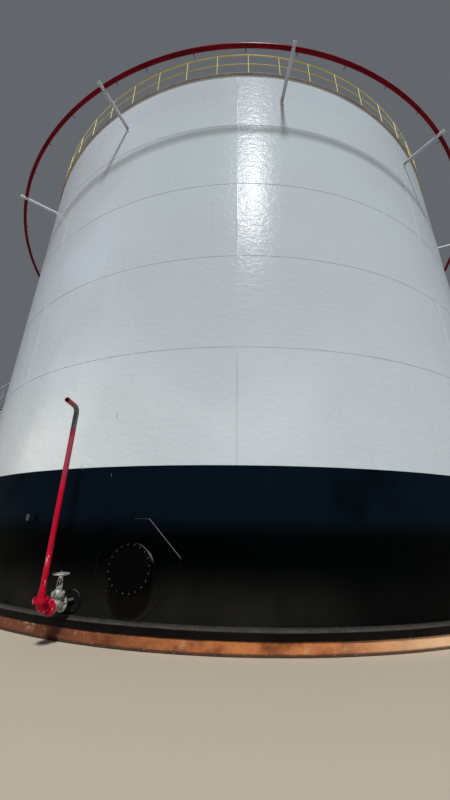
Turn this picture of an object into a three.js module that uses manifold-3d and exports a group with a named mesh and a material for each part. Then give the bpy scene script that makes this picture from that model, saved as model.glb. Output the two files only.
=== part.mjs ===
// A vertical steel storage tank: foundation, bottom, shell, cone roof, walkway rail, spray ring,
// helical stair, shell manhole and a gate valve with its red riser.
// Millimetres, +Z up. The origin is the centre of the base. Azimuths are in degrees: 0 is the front (-Y),
// and they grow towards +X.
import * as THREE from 'three';
import { mergeVertices } from 'three/addons/utils/BufferGeometryUtils.js';
import Module from 'manifold-3d';

const wasm = await Module();
wasm.setup();

// Clearance between pieces that rest on each other, and between plates in one ring
const GAP = 0.3;
const PLATE_GAP = 0.5;

// Every round wall has the same flats, and their corners stand where the posts and the arms stand
const FLAT_DEG = 3;
const CORNER_AZ = 2.1;
const FULL_TURN = 360;

// Foundation and bottom
const RING_WALL_R = 9655;
const RING_WALL_TOP = 205;
const KERB_R = 9683;
const KERB_EDGE_TOP = 322;
const KERB_TOP_R = 9612;
const KERB_TOP = 340;
const BOTTOM_R = 9605;
const BOTTOM_PLATE = 10;

// Shell: six courses of 12 m plates, five to a turn; the lowest course is black
const SHELL_R = 9550;
const SHELL_PLATE = 10;
const COURSE = 2438;
const COURSES = 6;
const STAVES = 5;
const SEAM_AZ = 35.1;

// Top angle, roof and vent
const ANGLE_RISE = 100;
const ANGLE_REACH = 75;
const ANGLE_PLATE = 10;
const ROOF_R = 9562;
const ROOF_PLATE = 8;
const ROOF_SLOPE = 1 / 16;
const VENT_NECK_R = 110;
const VENT_FOOT_R = 180;
const VENT_FOOT = 16;
const VENT_CAP_R = 240;
const VENT_NECK = 300;
const VENT_CAP_EDGE = 40;
const VENT_CAP_RISE = 110;
const VENT_SIDES = 24;

// Square bars stand for the round tubes of all rails; this share of a tube's radius, taken to a bar's
// corner, makes both look equally wide
const SQUARE_SHARE = 1.11;
const RAIL_SIDES = 4;

// Rail around the roof
const POST_PITCH = 6;
const RAIL_POSTS = FULL_TURN / POST_PITCH;
const RAIL_R = 9590;
const RAIL_TUBE_R = 17;
const MID_RAIL_TUBE_R = 12;
const RAIL_HEIGHT = 1035;
const MID_RAIL_HEIGHT = 520;
const RAIL_PANELS = 4;
const RAIL_END = 2.6;
const ENTRY_AZ = -138.9;

// Spray ring in four lengths, on twelve arms
const RING_R = 10684;
const RING_PIPE_R = 57;
const RING_Z = 13880;
const RING_JOINT_AZ = -0.8;
const RING_END_GAP = 3;
const RING_NODES = 4;
const NOZZLES = 47;
const NOZZLE_MIDDLE_AZ = 1.2;
const NOZZLE_SPACING = 7.7;
const NOZZLE_ASIDE = 2.3;
const NOZZLE_R = 14;
const NOZZLE_REACH = 155;
const NOZZLE_SIDES = 4;
const RING_PIPE_SIDES = 8;
const RING_STEPS = 22;
const ARMS = 12;
const ARM_FIRST_AZ = 8.1;
const ARM_END_R = 10870;
const ARM_WIDTH = 95;
const ARM_DEPTH = 55;
const ARM_PLATE = 7;
const ARM_FOOT_WIDTH = 130;
const ARM_FOOT_HEIGHT = 240;
const ARM_FOOT_BELOW = 140;
const ARM_FOOT_PLATE = 10;

// Shell manhole
const MANWAY_AZ = -10.07;
const MANWAY_Z = 1115;
const MANWAY_NECK_R = 305;
const MANWAY_NECK_PLATE = 10;
const MANWAY_FLANGE_R = 385;
const MANWAY_FLANGE = 25;
const MANWAY_REACH = 275;
const PAD_PLATE = 12;
const MANWAY_PAD_HALF = 750;
const MANWAY_PAD_FLAT = 155;
const MANWAY_SIDES = 36;
const HOLE_CLEARANCE = 0.4;
const CUT_DEPTH = 400;
const CUT_SPARE = 10;

// Outlet nozzle, gate valve and elbow
const VALVE_AZ = -17;
const VALVE_Z = 550;
const NOZZLE_PIPE_R = 57;
const NOZZLE_PIPE_PLATE = 6;
const PIPE_SIDES = 24;
const NOZZLE_PAD_R = 170;
const NOZZLE_PAD_SIDES = 32;
const FLANGE_R = 115;
const FLANGE = 24;
const NOZZLE_LENGTH = 231;
const VALVE_LENGTH = 229;
const ELBOW_REACH = 215;
const ELBOW_RISE = 131;
const ELBOW_BEND = 102;
const ELBOW_PIPE_R = 58;
const THROAT_R = 64;
const BULGE_R = 88;
const BULGE_HALF = 56;
const VALVE_NECK_FOOT_R = 80;
const VALVE_NECK_R = 76;
const VALVE_NECK_TOP = 155;
const BONNET_FLANGE_R = 105;
const BONNET_FLANGE = 25;
const BONNET_SIDES = 18;
const BONNET_FOOT_R = 78;
const BONNET_SHOULDER_R = 62;
const BONNET_SHOULDER = 35;
const BONNET_TOP_R = 34;
const BONNET_TOP = 55;
const GLAND_R = 44;
const GLAND_FOOT = 14;
const GLAND_EDGE = 15;
const GLAND_TOP_R = 26;
const GLAND_TOP = 45;
const YOKE_TOP = 420;
const YOKE_HUB = 34;
const YOKE_HUB_R = 34;
const YOKE_ARM_R = 11;
const YOKE_FOOT_OUT = 52;
const YOKE_SHOULDER_OUT = 42;
const YOKE_HEAD_OUT = 20;
const STEM_R = 13;
const STEM_BORE_R = 15;
const STEM_FOOT = 40;
const STEM_HEAD = 495;
const STEM_SIDES = 16;
const WHEEL_R = 120;
const WHEEL_RIM_R = 13;
const WHEEL_RIM_SIDES = 6;
const WHEEL_SIDES = 24;
const WHEEL_HUB_R = 30;
const WHEEL_HUB = 40;
const WHEEL_BORE_R = 14;
const WHEEL_CLEARANCE = 0.5;
const WHEEL_SPOKES = 4;
const SPOKE_WIDTH = 20;
const SPOKE_DEPTH = 12;
const SPOKE_START = 20;

// Red riser, grey bend and the first length of the level run
const RISER_PIPE_R = 44.5;
const RISER_SIDES = 20;
const REDUCER = 165;
const REDUCER_KNEE = 0.35;
const REDUCER_HEEL = 0.85;
const REDUCER_EASE = 1.5;
const RISER_TOP = 3385;
const RUN_Z = 3790;
const RUN_BEND = 114;
const RUN_TURN = 20.4;
const BEND_TANGENT = 60;
const STUB = 260;
const STUB_SIDES = 16;
const STUB_PLUG = 52;
const BEND_STEPS = 14;
const PIPE_WALL = 6;

// Stair that climbs round the left side
const STAIR_START_AZ = -32;
const STAIR_SWEEP = 104.5;
const RISERS = 75;
const FLIGHT_STEPS = 25;
const STRINGER_IN_R = 9700;
const STRINGER_OUT_R = 10450;
const STRINGER_PLATE = 12;
const STRINGER_ABOVE = 220;
const STRINGER_BELOW = 80;
const TREAD = 35;
const TREAD_LAP = 0.12;
const STAIR_RAIL = 1035;
const STAIR_MID_RAIL = 430;
const STAIR_RAIL_STEPS = 10;
const STAIR_RAIL_OVERRUN = 0.3;
const STAIR_POST_EVERY = 4;
const STAIR_POST_BELOW = 150;
const STAIR_TUBE_R = 19;
const BRACKET_PLATE = 12;
const BRACKET_FIRST_AZ = -45.9;
const BRACKET_EVERY_DEG = 12;
const BRACKETS = 8;
const BRACKET_DEPTH = 260;
const PLATFORM_DEG = 7;
const PLATFORM_LAP = 0.9;
const PLATFORM_IN_R = 9672;
const PLATFORM_DEPTH = 140;
const PLATFORM_KNEE = 900;
const PLATFORM_NOSE = 80;
const PLATFORM_EDGE = 40;
const LANDING_POST_INSET = 39;
const LANDING_GATE_R = 9735;
const LANDING_FIRST_POST = 0.4;
const LANDING_LAST_POST = 0.25;
const LANDING_MID_POST = 3.55;

// Levels that follow from the sizes
const bottomTop = KERB_TOP + GAP + BOTTOM_PLATE;
const shellFoot = bottomTop + GAP;
const bandTop = shellFoot + COURSE;
const shellTop = shellFoot + COURSES * COURSE;
const topLevel = shellTop + GAP + ANGLE_RISE;
const staveDeg = FULL_TURN / STAVES;
const armTop = RING_Z - RING_PIPE_R - GAP;
const roofRise = ROOF_R * ROOF_SLOPE;
const rise = topLevel / RISERS;
const pitch = STAIR_SWEEP / RISERS;
const flights = Math.ceil((RISERS - 1) / FLIGHT_STEPS);

const radians = THREE.MathUtils.degToRad;

// Solids and surfaces

function solid(geometry) {
  const bare = geometry.clone();
  bare.deleteAttribute('normal');
  bare.deleteAttribute('uv');
  const merged = mergeVertices(bare, 1e-3);
  const vertProperties = new Float32Array(merged.attributes.position.array);
  const triVerts = new Uint32Array(merged.index.array);
  return new wasm.Manifold(new wasm.Mesh({ numProp: 3, vertProperties, triVerts }));
}

function surface(body) {
  const mesh = body.getMesh();
  const geometry = new THREE.BufferGeometry();
  geometry.setAttribute('position', new THREE.BufferAttribute(new Float32Array(mesh.vertProperties), 3));
  geometry.setIndex(new THREE.BufferAttribute(new Uint32Array(mesh.triVerts), 1));
  return geometry;
}

function fuse(geometries) {
  return geometries.map(solid).reduce((whole, piece) => whole.add(piece));
}

// How far out a flat lies at an azimuth, as a share of its corners' distance
function flatShare(azimuth) {
  const past = (((azimuth - CORNER_AZ) % FLAT_DEG) + FLAT_DEG) % FLAT_DEG;
  return Math.cos(radians(FLAT_DEG / 2)) / Math.cos(radians(past - FLAT_DEG / 2));
}

function cornersBetween(low, high) {
  const first = Math.floor((low - CORNER_AZ) / FLAT_DEG) + 1;
  const azimuths = [low];
  for (let n = first; CORNER_AZ + n * FLAT_DEG < high - 1e-6; n++) {
    azimuths.push(CORNER_AZ + n * FLAT_DEG);
  }
  azimuths.push(high);
  return azimuths;
}

function polar(radius, azimuth, z) {
  const angle = radians(azimuth);
  return new THREE.Vector3(radius * Math.sin(angle), -radius * Math.cos(angle), z);
}

// A box whose columns of corners are sent, by their number, to an azimuth, a radius and a height
function wrapped(columns, place) {
  const geometry = new THREE.BoxGeometry(1, 1, 1, columns, 1, 1);
  const position = geometry.attributes.position;
  for (let i = 0; i < position.count; i++) {
    const column = Math.round((position.getX(i) + 0.5) * columns);
    const point = place(column, position.getY(i) < 0, position.getZ(i) > 0);
    position.setXYZ(i, point.x, point.y, point.z);
  }
  return geometry;
}

// A piece of round wall on the common flats
function wall(low, high, innerR, outerR, bottom, top) {
  const azimuths = cornersBetween(low, high);
  return wrapped(azimuths.length - 1, (column, outer, upper) => {
    const azimuth = azimuths[column];
    return polar((outer ? outerR : innerR) * flatShare(azimuth), azimuth, upper ? top : bottom);
  });
}

// A whole turn of a section given as [radius, height], counter-clockwise, from the axis or closed
function turned(section, sides = FULL_TURN / FLAT_DEG, start = CORNER_AZ) {
  const points = section.map(([r, z]) => new THREE.Vector2(r, z));
  const geometry = new THREE.LatheGeometry(points, sides, radians(start));
  const position = geometry.attributes.position;
  for (let j = 0; j < points.length; j++) {
    position.setXYZ(sides * points.length + j, position.getX(j), position.getY(j), position.getZ(j));
  }
  return geometry.rotateX(Math.PI / 2);
}

function closedSection(section) {
  return [...section, section[0]];
}

// A turned piece on a level axis that points out of the shell; heights become the distance outwards
function turnedOutwards(section, sides) {
  return turned(section, sides, 0).rotateX(Math.PI / 2);
}

function bar(radius, from, to, sides) {
  const geometry = new THREE.CylinderGeometry(radius, radius, from.distanceTo(to), sides);
  const along = to.clone().sub(from).normalize();
  geometry.applyQuaternion(new THREE.Quaternion().setFromUnitVectors(new THREE.Vector3(0, 1, 0), along));
  const middle = from.clone().add(to).multiplyScalar(0.5);
  return geometry.translate(middle.x, middle.y, middle.z);
}

function outline(points) {
  return new THREE.Shape(points.map(([x, y]) => new THREE.Vector2(x, y)));
}

function roundSection(radius, sides) {
  const points = [];
  for (let n = 0; n < sides; n++) {
    const angle = (n / sides) * 2 * Math.PI;
    points.push([radius * Math.cos(angle), radius * Math.sin(angle)]);
  }
  return outline(points);
}

// A path round the tank that may climb as it goes
class RoundPath extends THREE.Curve {
  constructor(radius, from, to, zFrom, zTo) {
    super();
    Object.assign(this, { radius, from, to, zFrom, zTo });
  }

  getPoint(t, target = new THREE.Vector3()) {
    const azimuth = this.from + (this.to - this.from) * t;
    return target.copy(polar(this.radius, azimuth, this.zFrom + (this.zTo - this.zFrom) * t));
  }
}

function tubeAlong(path, radius, sides, steps) {
  const section = roundSection(radius, sides);
  return new THREE.ExtrudeGeometry(section, { steps, extrudePath: path, bevelEnabled: false });
}

// Posts turn a flat side to the tank's axis; rails follow it
function post(radius, azimuth, foot, head, tubeR) {
  const corner = tubeR * SQUARE_SHARE;
  const height = head - foot;
  const turn = Math.PI / RAIL_SIDES;
  const shape = new THREE.CylinderGeometry(corner, corner, height, RAIL_SIDES, 1, false, turn);
  const place = polar(radius, azimuth, foot + height / 2);
  return shape.rotateX(Math.PI / 2).rotateZ(radians(azimuth)).translate(place.x, place.y, place.z);
}

function rail(path, tubeR, steps) {
  return tubeAlong(path, tubeR * SQUARE_SHARE, RAIL_SIDES, steps);
}

// Foundation and bottom

function disc(radius, bottom, top) {
  return turned([[0, bottom], [radius, bottom], [radius, top], [0, top]]);
}

function ringWall() {
  return disc(RING_WALL_R, 0, RING_WALL_TOP);
}

function kerb() {
  const foot = RING_WALL_TOP + GAP;
  return turned([[0, foot], [KERB_R, foot], [KERB_R, KERB_EDGE_TOP], [KERB_TOP_R, KERB_TOP], [0, KERB_TOP]]);
}

function bottomPlate() {
  return disc(BOTTOM_R, KERB_TOP + GAP, bottomTop);
}

// Shell plates; the front one has holes for the manhole and the outlet

function hole(azimuth, z, pipeR, sides) {
  const reach = CUT_DEPTH / 2;
  const radius = pipeR + HOLE_CLEARANCE;
  const plug = turnedOutwards([[0, -reach], [radius, -reach], [radius, reach], [0, reach]], sides);
  const centre = polar(SHELL_R, azimuth, z);
  return plug.rotateZ(radians(azimuth)).translate(centre.x, centre.y, centre.z);
}

function stave(index, bottom, top) {
  const start = SEAM_AZ - staveDeg + index * staveDeg;
  const gapDeg = THREE.MathUtils.radToDeg(PLATE_GAP / SHELL_R);
  return wall(start, start + staveDeg - gapDeg, SHELL_R - SHELL_PLATE, SHELL_R, bottom, top);
}

function bandStave(index) {
  const plate = stave(index, shellFoot, bandTop);
  if (index !== 0) {
    return plate;
  }
  const manhole = solid(hole(MANWAY_AZ, MANWAY_Z, MANWAY_NECK_R, MANWAY_SIDES));
  const outlet = solid(hole(VALVE_AZ, VALVE_Z, NOZZLE_PIPE_R, PIPE_SIDES));
  return surface(solid(plate).subtract(manhole).subtract(outlet));
}

function upperStave(index) {
  return stave(index, bandTop + GAP, shellTop);
}

function topAngle() {
  const inner = SHELL_R - ANGLE_PLATE;
  const outer = inner + ANGLE_REACH;
  const under = topLevel - ANGLE_PLATE;
  return turned(closedSection([
    [inner, shellTop + GAP], [SHELL_R, shellTop + GAP], [SHELL_R, under], [outer, under],
    [outer, topLevel], [inner, topLevel],
  ]));
}

// Roof and vent

function coneRoof() {
  const eave = topLevel + GAP;
  const apex = eave + roofRise;
  return turned([[0, apex], [ROOF_R, eave], [ROOF_R, eave + ROOF_PLATE], [0, apex + ROOF_PLATE]]);
}

function roofVent() {
  const apex = topLevel + GAP + roofRise + ROOF_PLATE + GAP;
  const cap = apex + VENT_NECK;
  return turned([
    [0, apex], [VENT_FOOT_R, apex - VENT_FOOT_R * ROOF_SLOPE], [VENT_FOOT_R, apex + VENT_FOOT],
    [VENT_NECK_R, apex + VENT_FOOT], [VENT_NECK_R, cap], [VENT_CAP_R, cap],
    [VENT_CAP_R, cap + VENT_CAP_EDGE], [VENT_NECK_R, cap + VENT_CAP_RISE], [0, cap + VENT_CAP_RISE],
  ], VENT_SIDES);
}

// Rail around the roof, with one open bay at the stair

function roofRailPanel(index) {
  const panelPosts = RAIL_POSTS / RAIL_PANELS;
  const firstPost = ENTRY_AZ + POST_PITCH / 2 + index * panelPosts * POST_PITCH;
  const lastPost = firstPost + (panelPosts - 1) * POST_PITCH;
  const nextJoint = index === RAIL_PANELS - 1 ? 0 : RAIL_END;
  const lastJoint = index === 0 ? 0 : RAIL_END;
  const pieces = [];
  for (let n = 0; n < panelPosts; n++) {
    const azimuth = firstPost + n * POST_PITCH;
    pieces.push(post(RAIL_R, azimuth, topLevel + GAP, topLevel + RAIL_HEIGHT, RAIL_TUBE_R));
  }
  for (const [height, tubeR] of [[RAIL_HEIGHT, RAIL_TUBE_R], [MID_RAIL_HEIGHT, MID_RAIL_TUBE_R]]) {
    const z = topLevel + height;
    const path = new RoundPath(RAIL_R, firstPost - lastJoint, lastPost + nextJoint, z, z);
    pieces.push(rail(path, tubeR, panelPosts));
  }
  return surface(fuse(pieces));
}

// Spray ring and its arms

function nozzle(azimuth) {
  const root = polar(RING_R, azimuth, RING_Z);
  const tip = polar(RING_R - NOZZLE_REACH, azimuth, RING_Z);
  return bar(NOZZLE_R, root, tip, NOZZLE_SIDES);
}

// Evenly spaced about the front; a nozzle that meets an arm stands beside it
function nozzleAzimuths() {
  const azimuths = [];
  const armPitch = FULL_TURN / ARMS;
  const armHalf = THREE.MathUtils.radToDeg((ARM_WIDTH / 2 + NOZZLE_R) / RING_R);
  for (let n = 0; n < NOZZLES; n++) {
    const azimuth = NOZZLE_MIDDLE_AZ + (n - (NOZZLES - 1) / 2) * NOZZLE_SPACING;
    const fromArm = (azimuth - ARM_FIRST_AZ) / armPitch;
    const aside = Math.abs(fromArm - Math.round(fromArm)) * armPitch < armHalf;
    azimuths.push(aside ? azimuth + NOZZLE_ASIDE : azimuth);
  }
  return azimuths;
}

function ringQuarter(index) {
  const sweep = FULL_TURN / RING_NODES;
  const start = RING_JOINT_AZ + index * sweep;
  const gapDeg = THREE.MathUtils.radToDeg(RING_END_GAP / RING_R);
  const path = new RoundPath(RING_R, start, start + sweep - gapDeg, RING_Z, RING_Z);
  const pieces = [tubeAlong(path, RING_PIPE_R, RING_PIPE_SIDES, RING_STEPS)];
  for (const azimuth of nozzleAzimuths()) {
    const along = THREE.MathUtils.euclideanModulo(azimuth - start, FULL_TURN);
    if (along < sweep) {
      pieces.push(nozzle(azimuth));
    }
  }
  return surface(fuse(pieces));
}

// An upside-down channel on a foot plate; the frame's -Y points out of the shell
function ringArm() {
  const half = ARM_WIDTH / 2;
  const inside = half - ARM_PLATE;
  const section = outline([
    [-half, 0], [-half, -ARM_DEPTH], [-inside, -ARM_DEPTH], [-inside, -ARM_PLATE],
    [inside, -ARM_PLATE], [inside, -ARM_DEPTH], [half, -ARM_DEPTH], [half, 0],
  ]);
  const length = ARM_END_R - SHELL_R - GAP;
  const channel = new THREE.ExtrudeGeometry(section, { depth: length, bevelEnabled: false });
  channel.rotateX(Math.PI / 2).translate(0, -GAP, 0);
  const foot = new THREE.BoxGeometry(ARM_FOOT_WIDTH, ARM_FOOT_PLATE, ARM_FOOT_HEIGHT);
  foot.translate(0, -GAP - ARM_FOOT_PLATE / 2, ARM_FOOT_HEIGHT / 2 - ARM_DEPTH - ARM_FOOT_BELOW);
  return surface(fuse([channel, foot]));
}

// Reinforcing pads lie on the shell's flats; their outline is cut through a piece of round wall

function pad(azimuth, z, cutter, half, neck) {
  const halfDeg = THREE.MathUtils.radToDeg((half + 1) / SHELL_R);
  const inner = SHELL_R + GAP;
  const low = z - half - 1;
  const high = z + half + 1;
  const blank = wall(azimuth - halfDeg, azimuth + halfDeg, inner, inner + PAD_PLATE, low, high);
  const placed = cutter.rotateZ(radians(azimuth));
  const centre = polar(SHELL_R, azimuth, z);
  placed.translate(centre.x, centre.y, centre.z);
  return surface(solid(blank).intersect(solid(placed)).subtract(solid(neck)));
}

function manwayPad() {
  const half = MANWAY_PAD_HALF;
  const flat = MANWAY_PAD_FLAT;
  const shape = outline([
    [flat, -half], [half, -flat], [half, flat], [flat, half],
    [-flat, half], [-half, flat], [-half, -flat], [-flat, -half],
  ]);
  const cutter = new THREE.ExtrudeGeometry(shape, { depth: CUT_DEPTH, bevelEnabled: false });
  cutter.translate(0, 0, -CUT_DEPTH / 2).rotateX(Math.PI / 2);
  const neck = hole(MANWAY_AZ, MANWAY_Z, MANWAY_NECK_R, MANWAY_SIDES);
  return pad(MANWAY_AZ, MANWAY_Z, cutter, half, neck);
}

function outletPad() {
  const cutter = new THREE.CylinderGeometry(NOZZLE_PAD_R, NOZZLE_PAD_R, CUT_DEPTH, NOZZLE_PAD_SIDES);
  const neck = hole(VALVE_AZ, VALVE_Z, NOZZLE_PIPE_R, PIPE_SIDES);
  return pad(VALVE_AZ, VALVE_Z, cutter, NOZZLE_PAD_R, neck);
}

// Manhole neck with its flange, and the bolted cover

function manwayNeck() {
  const inside = MANWAY_NECK_R - MANWAY_NECK_PLATE;
  const face = MANWAY_REACH - MANWAY_FLANGE;
  return turnedOutwards(closedSection([
    [inside, -SHELL_PLATE], [MANWAY_NECK_R, -SHELL_PLATE], [MANWAY_NECK_R, face - MANWAY_FLANGE],
    [MANWAY_FLANGE_R, face - MANWAY_FLANGE], [MANWAY_FLANGE_R, face], [inside, face],
  ]), MANWAY_SIDES);
}

function manwayCover() {
  const back = MANWAY_REACH - MANWAY_FLANGE + GAP;
  return turnedOutwards([
    [0, back], [MANWAY_FLANGE_R, back], [MANWAY_FLANGE_R, MANWAY_REACH], [0, MANWAY_REACH],
  ], MANWAY_SIDES);
}

// Outlet nozzle, gate valve and elbow; distances outwards are from the shell

const valveStart = NOZZLE_LENGTH + GAP;
const valveEnd = valveStart + VALVE_LENGTH;
const valveMiddle = (valveStart + valveEnd) / 2;
const elbowStart = valveEnd + GAP;
const riserOut = elbowStart + ELBOW_REACH;

function outletNozzle() {
  const inside = NOZZLE_PIPE_R - NOZZLE_PIPE_PLATE;
  const flangeBack = NOZZLE_LENGTH - FLANGE;
  return turnedOutwards(closedSection([
    [inside, -SHELL_PLATE], [NOZZLE_PIPE_R, -SHELL_PLATE], [NOZZLE_PIPE_R, flangeBack],
    [FLANGE_R, flangeBack], [FLANGE_R, NOZZLE_LENGTH], [inside, NOZZLE_LENGTH],
  ]), PIPE_SIDES);
}

// A piece turned on the upright axis at a distance out of the shell, from [radius, height] pairs
function turnedUpright(section, sides, outwards) {
  return turned(section, sides, 0).translate(0, -outwards, 0);
}

// A hole for the stem through a piece on the valve's axis
function stemBore(bottom, top, outwards, radius = STEM_BORE_R) {
  const foot = new THREE.Vector3(0, -outwards, bottom - CUT_SPARE);
  const head = new THREE.Vector3(0, -outwards, top + CUT_SPARE);
  return solid(bar(radius, foot, head, STEM_SIDES));
}

function valveBody() {
  const start = valveStart + FLANGE;
  const end = valveEnd - FLANGE;
  const neckFlange = VALVE_NECK_TOP - BONNET_FLANGE;
  const barrel = turnedOutwards([
    [0, valveStart], [FLANGE_R, valveStart], [FLANGE_R, start], [THROAT_R, start],
    [BULGE_R, valveMiddle - BULGE_HALF], [BULGE_R, valveMiddle + BULGE_HALF],
    [THROAT_R, end], [FLANGE_R, end], [FLANGE_R, valveEnd], [0, valveEnd],
  ], PIPE_SIDES);
  const neck = turnedUpright([
    [0, 0], [VALVE_NECK_FOOT_R, 0], [VALVE_NECK_R, neckFlange],
    [BONNET_FLANGE_R, neckFlange], [BONNET_FLANGE_R, VALVE_NECK_TOP], [0, VALVE_NECK_TOP],
  ], BONNET_SIDES, valveMiddle);
  return surface(fuse([barrel, neck]).subtract(stemBore(STEM_FOOT, VALVE_NECK_TOP, valveMiddle)));
}

function yokeArm(side) {
  const foot = new THREE.Vector3(side * YOKE_FOOT_OUT, -valveMiddle, VALVE_NECK_TOP + 2 * BONNET_FLANGE);
  const shoulder = new THREE.Vector3(side * YOKE_SHOULDER_OUT, -valveMiddle, YOKE_TOP - 2 * YOKE_HUB);
  const head = new THREE.Vector3(side * YOKE_HEAD_OUT, -valveMiddle, YOKE_TOP - YOKE_HUB / 2);
  const knuckle = new THREE.SphereGeometry(YOKE_ARM_R, 6, 4).translate(shoulder.x, shoulder.y, shoulder.z);
  return [bar(YOKE_ARM_R, foot, shoulder, 6), knuckle, bar(YOKE_ARM_R, shoulder, head, 6)];
}

function valveBonnet() {
  const foot = VALVE_NECK_TOP + GAP;
  const flangeTop = foot + BONNET_FLANGE;
  const domeTop = flangeTop + BONNET_TOP;
  const glandTop = domeTop + GLAND_TOP;
  const dome = turnedUpright([
    [0, foot], [BONNET_FLANGE_R, foot], [BONNET_FLANGE_R, flangeTop], [BONNET_FOOT_R, flangeTop],
    [BONNET_SHOULDER_R, flangeTop + BONNET_SHOULDER], [BONNET_TOP_R, domeTop],
    [BONNET_TOP_R, domeTop + GLAND_FOOT], [GLAND_R, domeTop + GLAND_FOOT],
    [GLAND_R, domeTop + GLAND_FOOT + GLAND_EDGE], [GLAND_TOP_R, domeTop + GLAND_FOOT + GLAND_EDGE],
    [GLAND_TOP_R, glandTop], [0, glandTop],
  ], BONNET_SIDES, valveMiddle);
  const hub = turnedUpright([
    [0, YOKE_TOP - YOKE_HUB], [YOKE_HUB_R, YOKE_TOP - YOKE_HUB], [YOKE_HUB_R, YOKE_TOP], [0, YOKE_TOP],
  ], BONNET_SIDES, valveMiddle);
  const casting = fuse([dome, hub, ...yokeArm(-1), ...yokeArm(1)]);
  return surface(casting.subtract(stemBore(foot, YOKE_TOP, valveMiddle)));
}

function valveStem() {
  return bar(STEM_R, new THREE.Vector3(0, 0, STEM_FOOT), new THREE.Vector3(0, 0, STEM_HEAD), STEM_SIDES);
}

function rimRing() {
  const section = [];
  for (let n = 0; n <= WHEEL_RIM_SIDES; n++) {
    const angle = (n / WHEEL_RIM_SIDES) * 2 * Math.PI;
    section.push([WHEEL_R + WHEEL_RIM_R * Math.cos(angle), WHEEL_RIM_R * Math.sin(angle)]);
  }
  return turned(section, WHEEL_SIDES, 0);
}

// The wheel turns on top of the yoke; its rim lies level with the top of its hub
function valveWheel() {
  const foot = YOKE_TOP + WHEEL_CLEARANCE;
  const top = foot + WHEEL_HUB;
  const rimZ = top - WHEEL_RIM_R;
  const spokeLength = WHEEL_R - SPOKE_START;
  const hub = turnedUpright([[0, foot], [WHEEL_HUB_R, foot], [WHEEL_HUB_R, top], [0, top]], WHEEL_SIDES, 0);
  const pieces = [rimRing().translate(0, 0, rimZ), hub];
  for (let n = 0; n < WHEEL_SPOKES; n++) {
    const spoke = new THREE.BoxGeometry(spokeLength, SPOKE_WIDTH, SPOKE_DEPTH);
    spoke.translate(SPOKE_START + spokeLength / 2, 0, rimZ);
    pieces.push(spoke.rotateZ((n / WHEEL_SPOKES) * 2 * Math.PI));
  }
  return surface(fuse(pieces).subtract(stemBore(foot, top, 0, WHEEL_BORE_R)));
}

// A round-cornered way through three corners: straight, quarter bend, straight
function bentPath(start, turnIn, corner, turnOut, end) {
  const path = new THREE.CurvePath();
  path.add(new THREE.LineCurve3(start, turnIn));
  path.add(new THREE.QuadraticBezierCurve3(turnIn, corner, turnOut));
  path.add(new THREE.LineCurve3(turnOut, end));
  return path;
}

// Flanged elbow from the valve up to the riser
function redElbow() {
  const inward = turnedOutwards([
    [0, elbowStart], [FLANGE_R, elbowStart], [FLANGE_R, elbowStart + FLANGE], [0, elbowStart + FLANGE],
  ], PIPE_SIDES);
  const upward = turnedUpright([
    [0, ELBOW_RISE - FLANGE], [FLANGE_R, ELBOW_RISE - FLANGE], [FLANGE_R, ELBOW_RISE], [0, ELBOW_RISE],
  ], PIPE_SIDES, riserOut);
  const path = bentPath(
    new THREE.Vector3(0, -elbowStart - 1, 0),
    new THREE.Vector3(0, -riserOut + ELBOW_BEND, 0),
    new THREE.Vector3(0, -riserOut, 0),
    new THREE.Vector3(0, -riserOut, ELBOW_BEND),
    new THREE.Vector3(0, -riserOut, ELBOW_RISE - 1),
  );
  return surface(fuse([inward, upward, tubeAlong(path, ELBOW_PIPE_R, STUB_SIDES, BEND_STEPS)]));
}

// Riser: flange, reducer and a long upright pipe
function riser() {
  const foot = ELBOW_RISE + GAP;
  const flangeTop = foot + FLANGE;
  const reducerTop = flangeTop + REDUCER;
  const top = RISER_TOP - VALVE_Z;
  return turnedUpright([
    [0, foot], [FLANGE_R, foot], [FLANGE_R, flangeTop], [NOZZLE_PIPE_R, flangeTop],
    [NOZZLE_PIPE_R - REDUCER_EASE, flangeTop + REDUCER_KNEE * REDUCER],
    [RISER_PIPE_R + REDUCER_EASE, flangeTop + REDUCER_HEEL * REDUCER],
    [RISER_PIPE_R, reducerTop], [RISER_PIPE_R, top], [0, top],
  ], RISER_SIDES, riserOut);
}

// The level run starts where the riser's axis meets the run's height above the valve
const runDirection = new THREE.Vector3(Math.sin(radians(RUN_TURN)), -Math.cos(radians(RUN_TURN)), 0);

function alongRun(distance) {
  return new THREE.Vector3(0, 0, RUN_Z - VALVE_Z).addScaledVector(runDirection, distance);
}

// Grey upright length and quarter bend
function greyBend() {
  const path = bentPath(
    new THREE.Vector3(0, 0, RISER_TOP - VALVE_Z + GAP),
    new THREE.Vector3(0, 0, RUN_Z - VALVE_Z - RUN_BEND),
    alongRun(0),
    alongRun(RUN_BEND),
    alongRun(RUN_BEND + BEND_TANGENT),
  );
  return tubeAlong(path, RISER_PIPE_R, STUB_SIDES, BEND_STEPS);
}

// First length of the level run, open at its end
function runStub() {
  const near = RUN_BEND + BEND_TANGENT + GAP;
  const pipe = solid(bar(RISER_PIPE_R, alongRun(near), alongRun(near + STUB), STUB_SIDES));
  const bore = solid(bar(
    RISER_PIPE_R - PIPE_WALL, alongRun(near + STUB_PLUG), alongRun(near + STUB + CUT_SPARE), STUB_SIDES,
  ));
  return surface(pipe.subtract(bore));
}

// Stair: a step number counts risers from the ground; azimuth and height follow from it

function stairAzimuth(step) {
  return STAIR_START_AZ - step * pitch;
}

function stairPoint(step, radius, above) {
  return polar(radius, stairAzimuth(step), Math.max(0, step * rise + above));
}

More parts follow.
